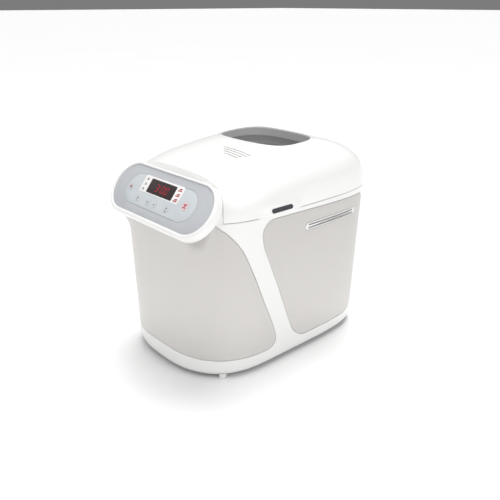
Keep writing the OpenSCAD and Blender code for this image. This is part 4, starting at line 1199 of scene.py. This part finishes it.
pan_rows = pan_rings([(-6, 0, 12), (-2.6, 0.8, 15), (-0.8, 2.6, 17), (0, 6, 18)])
outer_rise, inner_fall = PAN_TOP - PAN_LOW - 8 * MM, PAN_TOP - PAN_LOW - 14 * MM
pan_rows += [pan_ring(0, PAN_LOW + outer_rise * k / 6 + 2 * MM, 18 * MM) for k in range(1, 7)]
for a in range(-60, 221, 35):
    turn = math.radians(a)
    if a < 130:
        roll, high = 2.6 - 1.3 * math.cos(turn + math.pi), PAN_TOP - 1.4 * MM + 1.35 * math.sin(turn) * MM
        pan_rows.append(pan_ring(roll * MM, high, 20 * MM))
    else:
        pan_rows.append(pan_ring(-0.1 * MM, PAN_TOP - 2 * MM, 18 * MM))
pan_rows += [pan_ring(-1.6 * MM, PAN_TOP - 6 * MM - inner_fall * k / 6, 16.4 * MM) for k in range(7)]
pan_rows += pan_rings([(-2.4, 4, 15), (-4.2, 2.3, 13), (-8, 1.6, 10)])
pan = ring_piece("drawn_pan", pan_rows)
carve(pan, [prism(circle(0, PAN_Y, 8 * MM, 48), PAN_LOW - 8 * MM, PAN_LOW + 14 * MM, upright)])
smooth(pan.data, 40)
finish_piece(pan, coating, "pan", "pan_coating", "bread_pan")


# ---- everything inside ----
# The frame's own parts that need no softer shape, each with the finish it would leave the
# factory with: rolled and plated sheet, drawn wire, cast alloy, rubber, board and plastic.
def metal(name, low, high, roughness, scale=(1, 1, 1), streak=0.002):
    """Bare metal with fine streaks along one direction."""
    finish = Finish(name, low, roughness, metallic=1.0)
    lines = finish.noise(streak, 3, scale)
    finish.tones(0.03, 3, low, high)
    finish.gloss(lines, roughness - 0.07, roughness + 0.08)
    finish.bump(lines, 0.08, 0.00005)
    return finish


slot_finish = {
    "white_shell": white_gloss,
    "silver_skin": satin_silver,
    "white_trim": white_trim,
    "grey_face": grey_face,
    "key_film": key_field,
    "key_caps": cap_finish,
    "start_cap": start_finish,
    "display_dark": lens_finish,
    "display_red": red_ink,
    "smoked_glass": smoked,
    "pad_rubber": rubber,
    "pan_coating": coating,
    "deck_plastic": satin("pale_deck_plastic", (0.60, 0.60, 0.59), (0.65, 0.65, 0.64), 0.5, 0.0009),
    "chamber_steel": metal("rolled_oven_sheet", (0.60, 0.60, 0.59), (0.67, 0.67, 0.66), 0.34, (1, 1, 0.08)),
    "bracket_steel": metal("zinc_plated_steel", (0.55, 0.56, 0.58), (0.62, 0.62, 0.62), 0.38),
    "heater_steel": metal("heat_tinted_steel", (0.10, 0.09, 0.085), (0.17, 0.14, 0.12), 0.5),
    "ceramic_white": satin("glazed_ceramic", (0.78, 0.77, 0.73), (0.83, 0.82, 0.79), 0.25),
    "sensor_steel": metal("drawn_probe_steel", (0.62, 0.62, 0.61), (0.68, 0.68, 0.67), 0.28),
    "spring_steel": metal("spring_steel", (0.48, 0.49, 0.5), (0.55, 0.56, 0.57), 0.3),
    "cast_alloy": metal("die_cast_alloy", (0.42, 0.43, 0.44), (0.5, 0.51, 0.52), 0.5, streak=0.0008),
    "bronze_bush": metal("sintered_bronze", (0.42, 0.27, 0.13), (0.5, 0.33, 0.17), 0.42, streak=0.0006),
    "shaft_steel": metal("ground_shaft_steel", (0.60, 0.60, 0.61), (0.66, 0.66, 0.67), 0.2, (1, 1, 12)),
    "pulley_plastic": satin("black_pulley_nylon", (0.03, 0.03, 0.032), (0.045, 0.045, 0.048), 0.45),
    "belt_rubber": satin("ribbed_belt_rubber", (0.018, 0.018, 0.02), (0.03, 0.03, 0.032), 0.7, 0.0007),
    "motor_steel": metal("motor_can_steel", (0.52, 0.53, 0.54), (0.6, 0.6, 0.6), 0.36, (1, 1, 8)),
    "capacitor_plastic": satin("capacitor_plastic", (0.7, 0.7, 0.68), (0.75, 0.75, 0.73), 0.4),
    "board_green": satin("green_board_lacquer", (0.02, 0.13, 0.06), (0.03, 0.17, 0.08), 0.3),
    "silicone_grey": satin("grey_silicone", (0.25, 0.25, 0.26), (0.3, 0.3, 0.31), 0.6),
    "silicone_red": satin("red_silicone", (0.42, 0.05, 0.04), (0.48, 0.07, 0.05), 0.55),
    "inlet_black": satin("black_inlet_plastic", (0.025, 0.025, 0.028), (0.04, 0.04, 0.043), 0.4),
    "screw_steel": metal("zinc_screw_steel", (0.55, 0.56, 0.58), (0.63, 0.63, 0.63), 0.3),
}
clear = Finish("inner_clear_glass", (0.16, 0.165, 0.17), 0.1, coat=0.2)
clear.tones(0.04, 2, (0.15, 0.155, 0.16), (0.19, 0.195, 0.2))
slot_finish["clear_glass"] = clear

for part in frame["record"]["subparts"]:
    thing = frame["nodes"][part["node"]]
    finish = slot_finish[part["material_slot"]].material
    if not thing.material_slots:
        thing.data.materials.append(finish)
    for place in thing.material_slots:
        place.material = finish
